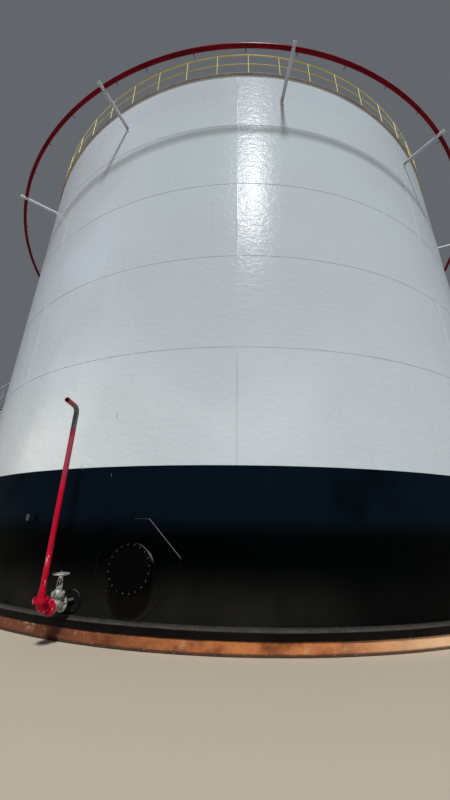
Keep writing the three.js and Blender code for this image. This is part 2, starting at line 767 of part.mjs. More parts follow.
function stringer(from, to, innerR) {
  const steps = Math.round(to - from);
  return wrapped(steps, (column, outer, upper) => {
    const step = to - (column / steps) * (to - from);
    const radius = outer ? innerR + STRINGER_PLATE : innerR;
    return stairPoint(step, radius, upper ? STRINGER_ABOVE : -STRINGER_BELOW);
  });
}

function tread(number, lap) {
  const bite = STRINGER_PLATE / 2;
  const top = (number + 1) * rise;
  return wrapped(1, (column, outer, upper) => {
    const step = column === 1 ? number : number + 1 + lap;
    const radius = outer ? STRINGER_OUT_R - STRINGER_PLATE + bite : STRINGER_IN_R + STRINGER_PLATE - bite;
    return polar(radius, stairAzimuth(step), upper ? top : top - TREAD);
  });
}

// An upright plate that stands out of the shell, from [distance outwards, height] pairs
function gusset(points, azimuth) {
  const plate = new THREE.ExtrudeGeometry(outline(points), { depth: BRACKET_PLATE, bevelEnabled: false });
  plate.translate(0, 0, -BRACKET_PLATE / 2).rotateX(Math.PI / 2).rotateZ(-Math.PI / 2);
  const foot = polar(SHELL_R, azimuth, 0);
  return plate.rotateZ(radians(azimuth)).translate(foot.x, foot.y, 0);
}

// A bracket from a corner of the shell to the inner stringer
function stairBracket(azimuth) {
  const step = (STAIR_START_AZ - azimuth) / pitch;
  const top = step * rise + STRINGER_ABOVE / 2;
  const reach = STRINGER_IN_R - SHELL_R + STRINGER_PLATE / 2;
  const nose = top - BRACKET_DEPTH / 2;
  return gusset([[GAP, top - BRACKET_DEPTH], [reach, nose], [reach, top], [GAP, top]], azimuth);
}

function flight(index) {
  const from = index * FLIGHT_STEPS;
  const to = Math.min(from + FLIGHT_STEPS, RISERS - 1);
  const clear = THREE.MathUtils.radToDeg(PLATE_GAP / STRINGER_IN_R) / pitch;
  const pieces = [
    stringer(from, to - clear, STRINGER_IN_R),
    stringer(from, to - clear, STRINGER_OUT_R - STRINGER_PLATE),
  ];
  for (let n = from; n < to; n++) {
    pieces.push(tread(n, n === to - 1 ? -clear : TREAD_LAP));
  }
  const lowest = stairAzimuth(to);
  const highest = stairAzimuth(from);
  for (let n = 0; n < BRACKETS; n++) {
    const azimuth = BRACKET_FIRST_AZ - n * BRACKET_EVERY_DEG;
    if (azimuth > lowest + pitch && azimuth < highest - pitch) {
      pieces.push(stairBracket(azimuth));
    }
  }
  return surface(fuse(pieces));
}

function stairRail(index) {
  const last = index === flights - 1;
  const from = index * FLIGHT_STEPS + 0.5;
  const to = Math.min((index + 1) * FLIGHT_STEPS, RISERS - 1) + (last ? 0 : STAIR_RAIL_OVERRUN);
  const flat = STAIR_TUBE_R * SQUARE_SHARE * Math.cos(Math.PI / RAIL_SIDES);
  const radius = STRINGER_OUT_R + GAP + flat;
  const pieces = [];
  for (let step = from + 0.5; step < to; step += STAIR_POST_EVERY) {
    const level = (step + 1) * rise;
    pieces.push(post(radius, stairAzimuth(step), level - STAIR_POST_BELOW, level + STAIR_RAIL, STAIR_TUBE_R));
  }
  for (const height of [STAIR_RAIL, STAIR_MID_RAIL]) {
    const zFrom = (from + 1) * rise + height;
    const zTo = (to + 1) * rise + height;
    const path = new RoundPath(radius, stairAzimuth(from), stairAzimuth(to), zFrom, zTo);
    pieces.push(rail(path, STAIR_TUBE_R, STAIR_RAIL_STEPS));
  }
  return surface(fuse(pieces));
}

// Landing at the top of the stair, on two brackets
const landingFrom = STAIR_START_AZ - STAIR_SWEEP + pitch * PLATFORM_LAP;
const landingTo = landingFrom - PLATFORM_DEG;

function landingBracket(azimuth) {
  const top = topLevel - PLATFORM_DEPTH + 2;
  const reach = STRINGER_OUT_R - SHELL_R - PLATFORM_EDGE;
  const points = [[GAP, top - PLATFORM_KNEE], [reach, top - PLATFORM_NOSE], [reach, top], [GAP, top]];
  return gusset(points, azimuth);
}

function landing() {
  const under = topLevel - PLATFORM_DEPTH;
  const deck = wall(landingTo, landingFrom, PLATFORM_IN_R, STRINGER_OUT_R, under, topLevel);
  return surface(fuse([deck, landingBracket(ENTRY_AZ), landingBracket(ENTRY_AZ - FLAT_DEG)]));
}

function landingRail() {
  const radius = STRINGER_OUT_R - LANDING_POST_INSET;
  const start = landingFrom - LANDING_FIRST_POST;
  const end = landingTo + LANDING_LAST_POST;
  const middle = landingTo + LANDING_MID_POST;
  const pieces = [];
  for (const [r, azimuth] of [[radius, start], [radius, middle], [radius, end], [LANDING_GATE_R, end]]) {
    pieces.push(post(r, azimuth, topLevel + GAP, topLevel + RAIL_HEIGHT, STAIR_TUBE_R));
  }
  for (const height of [RAIL_HEIGHT, MID_RAIL_HEIGHT]) {
    const z = topLevel + height;
    pieces.push(rail(new RoundPath(radius, start, end, z, z), STAIR_TUBE_R, 3));
    pieces.push(bar(STAIR_TUBE_R, polar(radius, end, z), polar(LANDING_GATE_R, end, z), RAIL_SIDES));
  }
  return surface(fuse(pieces));
}

// Colours and finishes

const finishes = {
  concrete: { color: 0xa4572e, roughness: 0.9, metalness: 0 },
  bitumen: { color: 0x2a2a2a, roughness: 0.75, metalness: 0 },
  blackPaint: { color: 0x121316, roughness: 0.35, metalness: 0 },
  whitePaint: { color: 0xd6dde2, roughness: 0.3, metalness: 0 },
  anglePaint: { color: 0xb9b3ae, roughness: 0.5, metalness: 0 },
  yellowPaint: { color: 0xd9bf2c, roughness: 0.45, metalness: 0 },
  redPaint: { color: 0xb0122e, roughness: 0.35, metalness: 0 },
  darkRedPaint: { color: 0x8c1420, roughness: 0.4, metalness: 0 },
  galvanised: { color: 0x9ba09f, roughness: 0.5, metalness: 0.7 },
  castIron: { color: 0xb3b0a6, roughness: 0.6, metalness: 0.4 },
  steelRod: { color: 0x8d8f90, roughness: 0.35, metalness: 0.9 },
};

const tank = new THREE.Group();

function add(name, geometry, finish, place = {}) {
  const mesh = new THREE.Mesh(geometry, new THREE.MeshStandardMaterial(finishes[finish]));
  mesh.name = name;
  if (place.azimuth !== undefined) {
    mesh.position.copy(polar(place.radius, place.azimuth, place.z));
    mesh.rotation.z = radians(place.azimuth);
  }
  tank.add(mesh);
}

add('ring_wall', ringWall(), 'concrete');
add('kerb', kerb(), 'bitumen');
add('bottom_plate', bottomPlate(), 'blackPaint');
for (let n = 0; n < STAVES; n++) {
  add(`black_course_${n + 1}`, bandStave(n), 'blackPaint');
  add(`shell_${n + 1}`, upperStave(n), 'whitePaint');
}
add('top_angle', topAngle(), 'anglePaint');
add('roof', coneRoof(), 'whitePaint');
add('roof_vent', roofVent(), 'whitePaint');
for (let n = 0; n < RAIL_PANELS; n++) {
  add(`roof_rail_${n + 1}`, roofRailPanel(n), 'yellowPaint');
}
for (let n = 0; n < RING_NODES; n++) {
  add(`spray_ring_${n + 1}`, ringQuarter(n), 'darkRedPaint');
}
for (let n = 0; n < ARMS; n++) {
  const azimuth = ARM_FIRST_AZ + (n * FULL_TURN) / ARMS;
  add(`ring_arm_${n + 1}`, ringArm(), 'galvanised', { azimuth, radius: SHELL_R, z: armTop });
}

const manwayPlace = { azimuth: MANWAY_AZ, radius: SHELL_R, z: MANWAY_Z };
add('manway_pad', manwayPad(), 'blackPaint');
add('manway_neck', manwayNeck(), 'blackPaint', manwayPlace);
add('manway_cover', manwayCover(), 'blackPaint', manwayPlace);

const outletPlace = { azimuth: VALVE_AZ, radius: SHELL_R, z: VALVE_Z };
const stemPlace = { azimuth: VALVE_AZ, radius: SHELL_R + valveMiddle, z: VALVE_Z };
const riserPlace = { azimuth: VALVE_AZ, radius: SHELL_R + riserOut, z: VALVE_Z };
add('outlet_pad', outletPad(), 'blackPaint');
add('outlet_nozzle', outletNozzle(), 'blackPaint', outletPlace);
add('valve_body', valveBody(), 'castIron', outletPlace);
add('valve_bonnet', valveBonnet(), 'castIron', outletPlace);
add('valve_stem', valveStem(), 'steelRod', stemPlace);
add('valve_handwheel', valveWheel(), 'castIron', stemPlace);
add('riser_elbow', redElbow(), 'redPaint', outletPlace);
add('riser', riser(), 'redPaint', outletPlace);
add('riser_bend', greyBend(), 'galvanised', riserPlace);
add('run_stub', runStub(), 'redPaint', riserPlace);

for (let n = 0; n < flights; n++) {
  add(`stair_flight_${n + 1}`, flight(n), 'galvanised');
  add(`stair_rail_${n + 1}`, stairRail(n), 'galvanised');
}
add('stair_landing', landing(), 'galvanised');
add('landing_rail', landingRail(), 'galvanised');

export default tank;
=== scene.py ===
import math

import bmesh
import bpy
import numpy as np
from mathutils import Matrix, Vector


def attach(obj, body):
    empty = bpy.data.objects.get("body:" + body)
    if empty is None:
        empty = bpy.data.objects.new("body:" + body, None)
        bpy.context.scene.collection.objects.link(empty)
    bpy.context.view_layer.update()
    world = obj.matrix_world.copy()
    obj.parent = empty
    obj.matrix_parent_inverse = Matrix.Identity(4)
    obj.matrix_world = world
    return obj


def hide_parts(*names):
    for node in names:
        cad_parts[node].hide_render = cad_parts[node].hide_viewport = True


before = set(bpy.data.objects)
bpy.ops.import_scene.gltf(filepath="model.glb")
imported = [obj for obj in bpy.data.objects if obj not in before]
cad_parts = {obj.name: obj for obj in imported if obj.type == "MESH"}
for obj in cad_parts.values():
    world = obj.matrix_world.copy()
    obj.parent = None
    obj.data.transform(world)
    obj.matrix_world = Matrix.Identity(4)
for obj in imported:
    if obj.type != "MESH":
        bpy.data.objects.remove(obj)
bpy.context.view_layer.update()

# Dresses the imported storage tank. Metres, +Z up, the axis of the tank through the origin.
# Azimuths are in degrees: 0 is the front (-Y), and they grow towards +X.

TANK = "tank"
WHEEL = "handwheel"
STEM = "stem"

# Camera, fitted to the photograph
PHOTO_HEIGHT = 800
FOCAL_PIXELS = 320.6
SENSOR = 36.0
CAMERA_PLACE = (0.0, -15.331, 1.810)
CAMERA_PITCH = 21.08
CAMERA_ROLL = 0.886
CAMERA_YAW = -2.331
CAMERA_FAR = 1000

# Light, a wide lamp from the side that the photograph's light is on, and floor
LAMP_AZ = 8.7
LAMP_ELEVATION = 53.0
LAMP_STRENGTH = 2.5
LAMP_ANGLE = 7.0
LAMP_COLOUR = (0.96, 0.96, 1.0)
LAMP_AWAY = 60
STUDIO_COLOUR = (0.80, 0.85, 0.92)
STUDIO_STRENGTH = 0.19
FLOOR_COLOUR = (0.59, 0.53, 0.42)
FLOOR_ROUGHNESS = 0.9
FLOOR_SIZE = 600.0
VIEW_TRANSFORM = "Standard"
VIEW_GAMMA = 0.85
VIEW_EXPOSURE = 0.16

# Clearance between pieces that rest on each other, and how far some bolted faces are set back
GAP = 0.0003
FACE_GAP = 0.0006

# Nuts: across the flats, height, radius of the stud, and how far it stands out where that is the same
MANHOLE_NUT = (0.036, 0.017, 0.0115)
FLANGE_NUT = (0.027, 0.015, 0.009, 0.009)
BONNET_NUT = (0.024, 0.013, 0.008, 0.008)
VENT_NUT = (0.024, 0.012, 0.008, 0.010)
CLAMP_NUT = (0.019, 0.010, 0.006, 0.0)

# Ripples round the foundation and the foot weld, as pairs of size and number of turns
WALL_RIPPLES = ((0.0012, 41), (0.0009, 97), (0.0007, 173), (0.0006, 263))
CRUMBLE_RIPPLES = ((0.6, 67), (0.5, 149), (0.4, 311))
KERB_RIPPLES = ((0.0016, 13), (0.0010, 47), (0.0006, 131))
KERB_EDGE_RIPPLES = ((0.0018, 9), (0.0010, 37), (0.0007, 111))
WELD_RIPPLES = ((0.0012, 181), (0.0008, 307), (0.0006, 419))

# Foundation and bottom
RING_WALL_R = 9.655
RING_WALL_TOP = 0.205
KERB_R = 9.683
KERB_FOOT = 0.2053
KERB_EDGE_TOP = 0.322
KERB_TOP_R = 9.612
KERB_TOP = 0.340
BOTTOM_R = 9.605
BOTTOM_FOOT = 0.3403
BOTTOM_TOP = 0.3503
BOTTOM_CHAMFER = 0.002
SLAB_STEPS = 900
CHIME_STEPS = 720
FOOT_WELD_STEPS = 1440

# Shell
SHELL_R = 9.55
SHELL_PLATE = 0.010
SHELL_FOOT = 0.3506
COURSE = 2.438
COURSES = 6
PLATES = 5
PLATE_DEG = 72.0
BAND_TOP = SHELL_FOOT + COURSE
SHELL_TOP = SHELL_FOOT + COURSES * COURSE
SHELL_STEPS = 720
PEAK_HEIGHT = 0.005
PEAK_REACH = 0.11
CARRIED_PEAK = 0.45
SEAM_DRAWN_IN = 0.0022
SEAM_DRAWN_REACH = 0.16
SLACK = 0.0016
FINE_SLACK = 0.0008
SEAM_CLOSE_STEPS = (-0.3, -0.16, -0.07, 0.07, 0.16, 0.3)
BEAD_WIDTH = 0.022
BEAD_HEIGHT = 0.0028
BEAD_SUNK = 0.0035
BEAD_STEPS = 480
SEAM_BEAD_R = 0.0095
SEAM_BEAD_SUNK = 0.0050
SEAM_BEAD_INSET = 0.004
FITTING_SUNK = 0.003
CLEAT_AT = (-25.46, SHELL_R - FITTING_SUNK, 1.87)
STUD_AT = (-21.6, SHELL_R - FITTING_SUNK, 2.84)

# Top angle, roof and vent
ANGLE_RISE = 0.100
ANGLE_REACH = 0.075
ANGLE_PLATE = 0.010
TOP_LEVEL = SHELL_TOP + GAP + ANGLE_RISE
ROOF_R = 9.562
ROOF_PLATE = 0.008
ROOF_SLOPE = 1 / 16
ROOF_SIDES = 240
ROOF_STRIP = 1.83
LAP_R = 0.011
LAP_SUNK = 0.003
LAP_LIMIT = 9.2
PLATE_LENGTH = 6.1
VENT_NECK_R = 0.110
VENT_FOOT_R = 0.180
VENT_CAP_R = 0.240
VENT_NECK = 0.300
VENT_FLANGE = 0.016
VENT_BOLT_R = 0.146

# Roof rail
POST_PITCH = 6.0
RAIL_PANELS = 4
RAIL_POSTS = 60
ENTRY_AZ = -138.9
RAIL_R = 9.590
RAIL_TUBE_R = 0.017
MID_RAIL_TUBE_R = 0.012
RAIL_HEIGHT = 1.035
MID_RAIL_HEIGHT = 0.520
RAIL_END = 2.6
RAIL_POST_FOOT = (0.070, 0.044, 0.008)
RAIL_POST_START = 0.004

# Spray ring and arms
RING_R = 10.684
RING_PIPE_R = 0.057
RING_Z = 13.880
RING_JOINT_AZ = -0.8
RING_JOINT_DEG = 0.016
RING_NODES = 4
NOZZLES = 47
NOZZLE_MIDDLE_AZ = 1.2
NOZZLE_SPACING = 7.7
NOZZLE_ASIDE = 2.3
NOZZLE_R = 0.014
NOZZLE_REACH = 0.155
ARMS = 12
ARM_FIRST_AZ = 8.1
ARM_END_R = 10.870
ARM_WIDTH = 0.095
ARM_DEPTH = 0.055
ARM_PLATE = 0.007
ARM_FOOT_WIDTH = 0.130
ARM_FOOT_HEIGHT = 0.240
ARM_FOOT_BELOW = 0.140
ARM_FOOT_PLATE = 0.010
ARM_TOP = RING_Z - RING_PIPE_R - GAP
CLAMP_ROD_R = 0.006
CLAMP_END = 0.022

# Manhole
MANHOLE_AZ = -10.07
MANHOLE_Z = 1.115
MANHOLE_NECK_R = 0.305
MANHOLE_FLANGE_R = 0.385
MANHOLE_FLANGE = 0.025
MANHOLE_REACH = 0.275
MANHOLE_BOLTS = 20
MANHOLE_BOLT_R = 0.350
MANHOLE_BOLT_TURN = 98.8
PAD_PLATE = 0.012
PAD_HALF = 0.750
PAD_FLAT = 0.155
PAD_STEP = 0.03
PAD_SUNK = 0.004
NECK_WALL = 0.010
NECK_START = -0.02
PAD_BEAD = 0.011
OUTLET_BEAD = 0.010

# Outlet, valve and riser; distances outwards are from the shell
VALVE_AZ = -17.0
VALVE_Z = 0.550
PIPE_R = 0.057
NOZZLE_PAD_R = 0.170
FLANGE_R = 0.115
FLANGE = 0.024
FLANGE_BOLTS = 8
FLANGE_BOLT_R = 0.0955
NOZZLE_LENGTH = 0.231
VALVE_START = 0.2313
VALVE_END = 0.4603
VALVE_MIDDLE = 0.3458
ELBOW_START = 0.4606
RISER_OUT = 0.6756
ELBOW_RISE = 0.131
ELBOW_BEND = 0.102
ELBOW_PIPE_R = 0.058
VALVE_NECK_TOP = 0.155
BONNET_FLANGE_R = 0.105
BONNET_FLANGE = 0.025
BONNET_BOLT_R = 0.091
YOKE_TOP = 0.420
YOKE_HUB = 0.034
YOKE_HUB_R = 0.034
BORE_R = 0.0145
CORE_R = 0.01
STEM_FOOT = 0.040
STEM_HEAD = 0.495
STEM_SHANK = 0.2
THREAD_PITCH = 0.0060
WHEEL_R = 0.120
WHEEL_RIM_R = 0.013
WHEEL_FOOT = 0.4205
WHEEL_HUB = 0.040
WHEEL_HUB_R = 0.030
RISER_R = 0.0445
RISER_TOP = 3.385
REDUCER = 0.165
RUN_Z = 3.790
RUN_BEND = 0.114
RUN_TURN = 20.4
BEND_TANGENT = 0.060
STUB = 0.260

# Stair
STAIR_START_AZ = -32.0
STAIR_SWEEP = 104.5
RISERS = 75
FLIGHT_STEPS = 25
STRINGER_IN_R = 9.700
STRINGER_OUT_R = 10.450
STRINGER_PLATE = 0.012
STRINGER_ABOVE = 0.220
STRINGER_BELOW = 0.080
STRINGER_END = 0.005
TREAD_LAP = 1.10
TREAD_BARS = 8
TREAD_BAR = 0.006
TREAD_NOSING = 0.030
TREAD_DEPTH = 0.032
CROSS_BAR_END = 0.04
CROSS_BAR_BELOW = 0.006
CROSS_BARS = 6
CROSS_BAR_R = 0.004
STAIR_RAIL = 1.035
STAIR_MID_RAIL = 0.430
STAIR_POST_EVERY = 4
STAIR_POST_BELOW = 0.150
STAIR_TUBE_R = 0.019
STAIR_RAIL_R = 10.4652 + 0.004
BRACKET_FIRST_AZ = -45.9
BRACKET_EVERY_DEG = 12.0
BRACKETS = 8
BRACKET_DEPTH = 0.260
BRACKET_PLATE = 0.012
LANDING_DEG = 7.0
LANDING_LAP = 0.9
LANDING_IN_R = 9.672
LANDING_DEPTH = 0.140
LANDING_PLATE = 0.010
LANDING_BARS = 36
LANDING_CROSS_BARS = 12
LANDING_BAR = 0.005
LANDING_BAR_LOW = 0.034
LANDING_BAR_HIGH = 0.002
LANDING_POST_R = 10.411
LANDING_GATE_R = 9.735
LANDING_KNEE = 0.900
rise = TOP_LEVEL / RISERS
pitch = STAIR_SWEEP / RISERS
flights = math.ceil((RISERS - 1) / FLIGHT_STEPS)
landing_from = STAIR_START_AZ - STAIR_SWEEP + pitch * LANDING_LAP
landing_to = landing_from - LANDING_DEG

# Turns about X, and a level first side for tubes that run upwards
LAID_OUT = Matrix.Rotation(math.radians(90), 4, "X")
LAID_IN = Matrix.Rotation(math.radians(-90), 4, "X")
UPSIDE_DOWN = Matrix.Rotation(math.pi, 4, "X")
ACROSS = (1, 0, 0)


# Points and frames

def polar(radius, azimuth, z):
    angle = math.radians(azimuth)
    return np.array([radius * math.sin(angle), -radius * math.cos(angle), z])


def turn_z(azimuth):
    return Matrix.Rotation(math.radians(azimuth), 4, "Z")


def lifted(z):
    return Matrix.Translation((0, 0, z))


def upright(azimuth, radius, z):
    """A frame with +Z up, whose -Y points out of the tank."""
    return Matrix.Translation(Vector(polar(radius, azimuth, z))) @ turn_z(azimuth)


def outward(azimuth, radius, z):
    """A frame whose +Z points out of the tank and whose +Y is up."""
    return upright(azimuth, radius, z) @ LAID_OUT


# Shapes are pairs of points and faces

def loft(sections, loop=False):
    """A skin over closed sections of equal length, capped at its ends or run round into itself."""
    count = len(sections[0])
    faces = []
    for i in range(len(sections) if loop else len(sections) - 1):
        low = i * count
        high = ((i + 1) % len(sections)) * count
        for j in range(count):
            k = (j + 1) % count
            faces.append((low + j, low + k, high + k, high + j))
    if not loop:
        last = (len(sections) - 1) * count
        faces.append(tuple(range(count - 1, -1, -1)))
        faces.append(tuple(range(last, last + count)))
    return np.concatenate([np.asarray(s, float) for s in sections]), faces


def joined(shapes):
    points, faces, start = [], [], 0
    for verts, polygons in shapes:
        points.append(verts)
        faces.extend(tuple(i + start for i in p) for p in polygons)
        start += len(verts)
    return np.concatenate(points), faces


def placed(shape, matrix):
    m = np.array(matrix)
    return shape[0] @ m[:3, :3].T + m[:3, 3], shape[1]


def ring_points(radius, height, sides):
    angles = np.arange(sides) * 2 * math.pi / sides
    return np.column_stack([radius * np.cos(angles), radius * np.sin(angles), np.full(sides, height)])


def rounded(profile, corner):
    """The [radius, height] profile with each corner but the first and last cut by a short slope."""
    points = [profile[0]]
    for before, here, after in zip(profile, profile[1:], profile[2:]):
        here = np.array(here, float)
        for other in (before, after):
            way = np.array(other, float) - here
            length = np.linalg.norm(way)
            points.append(tuple(here + way * min(corner / length, 0.45)))
    points.append(profile[-1])
    return points


def spun(profile, sides, corner=0.0, loop=False):
    """A turned piece on +Z from [radius, height] pairs, solid, or closed into a ring with loop."""
    pairs = rounded(profile, corner) if corner else profile
    return loft([ring_points(r, h, sides) for r, h in pairs], loop)


def turned_wall(section, azimuths, loop=True):
    """A section of [radius, height] pairs carried round the tank."""
    pairs = np.array(section, float)
    sections = []
    for azimuth in azimuths:
        angle = math.radians(azimuth)
        x = pairs[:, 0] * math.sin(angle)
        y = -pairs[:, 0] * math.cos(angle)
        sections.append(np.column_stack([x, y, pairs[:, 1]]))
    return loft(sections, loop)


def full_turn(steps):
    return [i * 360.0 / steps for i in range(steps)]


def tube(points, radius, sides, loop=False, first_side=(0, 0, 1)):
    """A round tube along points; radius is one number or one for each point."""
    points = np.asarray(points, float)
    radii = np.broadcast_to(np.asarray(radius, float), len(points))
    ways = np.roll(points, -1, 0) - np.roll(points, 1, 0) if loop else np.gradient(points, axis=0)
    angles = np.arange(sides) * 2 * math.pi / sides
    normal = np.array(first_side, float)
    sections = []
    for point, way, r in zip(points, ways, radii):
        way = way / np.linalg.norm(way)
        normal = normal - way * np.dot(normal, way)
        normal = normal / np.linalg.norm(normal)
        side = np.cross(way, normal)
        ring = np.outer(np.cos(angles), normal) + np.outer(np.sin(angles), side)
        sections.append(point + r * ring)
    return loft(sections, loop)


def arc_points(radius, start, end, z_start, z_end, steps):
    return [polar(radius, start + (end - start) * t, z_start + (z_end - z_start) * t)
            for t in np.linspace(0, 1, steps + 1)]


def bend_points(start, corner, end, reach, steps=12):
    """Straight, quarter bend of that reach about the corner, straight."""
    start, corner, end = (np.asarray(p, float) for p in (start, corner, end))
    into = (corner - start) / np.linalg.norm(corner - start)
    out = (end - corner) / np.linalg.norm(end - corner)
    centre = corner - into * reach + out * reach
    bend = [centre - out * reach * math.cos(a) + into * reach * math.sin(a)
            for a in np.linspace(0, math.pi / 2, steps + 1)]
    return [start, start + (bend[0] - start) * 0.5] + bend + [(bend[-1] + end) * 0.5, end]


def round_outline(radius, sides):
    angles = np.linspace(0, 2 * math.pi, sides, endpoint=False)
    return [(radius * math.cos(a), radius * math.sin(a)) for a in angles]


def prism(outline, depth):
    """A flat outline in X and Y, thickened along +Z."""
    flat = np.array([(x, y, 0.0) for x, y in outline])
    return loft([flat, flat + np.array([0, 0, depth])])


def block(width, depth, height):
    half = width / 2
    return prism([(-half, -depth / 2), (half, -depth / 2), (half, depth / 2), (-half, depth / 2)], height)


def nut_and_stud(across, height, stud_r, proud):
    """A chamfered hexagon nut on +Z with the end of its stud."""
    corner = across / math.sqrt(3)
    nut = [(corner * 0.9, 0), (corner, height * 0.12), (corner, height * 0.85), (corner * 0.88, height)]
    top = height + proud
    end = [(stud_r, height * 0.5), (stud_r, top - stud_r * 0.4), (stud_r * 0.6, top)]
    return joined([spun(nut, 6), spun(end, 10)])


def circle_of(shape, count, radius, first=0.0):
    """Copies of a shape on a circle about +Z."""
    return joined([placed(shape, turn_z(first + n * 360 / count) @ Matrix.Translation((radius, 0, 0)))
                   for n in range(count)])


def post(radius, azimuth, foot, head, tube_r, raised=0.0):
    """An upright tube that starts that far above its foot."""
    points = [polar(radius, azimuth, z) for z in (foot + raised, (foot + head) / 2, head)]
    return tube(points, tube_r, 12, first_side=ACROSS)


def make(name, shape, look, stands_for=(), body=TANK, sharp=32.0, bevel=0.0, segments=2):
    """Turns a shape into a piece that rides on a body of the tank."""
    mesh = bpy.data.meshes.new(name)
    mesh.from_pydata(np.asarray(shape[0]).tolist(), [], [list(f) for f in shape[1]])
    work = bmesh.new()
    work.from_mesh(mesh)
    bmesh.ops.recalc_face_normals(work, faces=work.faces)
    work.to_mesh(mesh)
    work.free()
    mesh.polygons.foreach_set("use_smooth", [True] * len(mesh.polygons))
    mesh.set_sharp_from_angle(angle=math.radians(sharp))
    mesh.materials.append(look.material)
    piece = bpy.data.objects.new(name, mesh)
    bpy.context.scene.collection.objects.link(piece)
    if bevel:
        edge = piece.modifiers.new("edges", "BEVEL")
        edge.width = bevel
        edge.segments = segments
        edge.limit_method = "ANGLE"
        edge.angle_limit = math.radians(40)
        edge.harden_normals = True
    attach(piece, body)
    if stands_for:
        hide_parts(*stands_for)
    return piece


# Looks

# The ways that the painted highlights on the black fittings face, the height they fade in over, and two
# blacks, the second lighter for dust and a painted reflection of the ground
BRIGHT_WAY = (0.150, -0.853, 0.500)
PAD_BRIGHT_WAY = (0.208, -0.868, 0.450)
RIM_BRIGHT_WAY = (0.66, 0.0, 0.75)
BRIGHT_FADE = 0.35
BLACK = (0.0014, 0.0017, 0.0020)
DUST_AND_REFLECTION_BLACK = (0.022, 0.022, 0.020)

# Pale chips and drips in the black paint: azimuth, height, size and how slim they are
PALE_MARKS = (
    (-13.2, 0.73, 0.022, 1.0),
    (-14.4, 2.64, 0.006, 0.10),
    (-18.6, 2.76, 0.014, 1.0),
)

# Numbers of the Mix node's colour sockets
MIX_FIRST, MIX_SECOND, MIX_RESULT = 6, 7, 2
NOISE_ROUGHNESS = 0.55


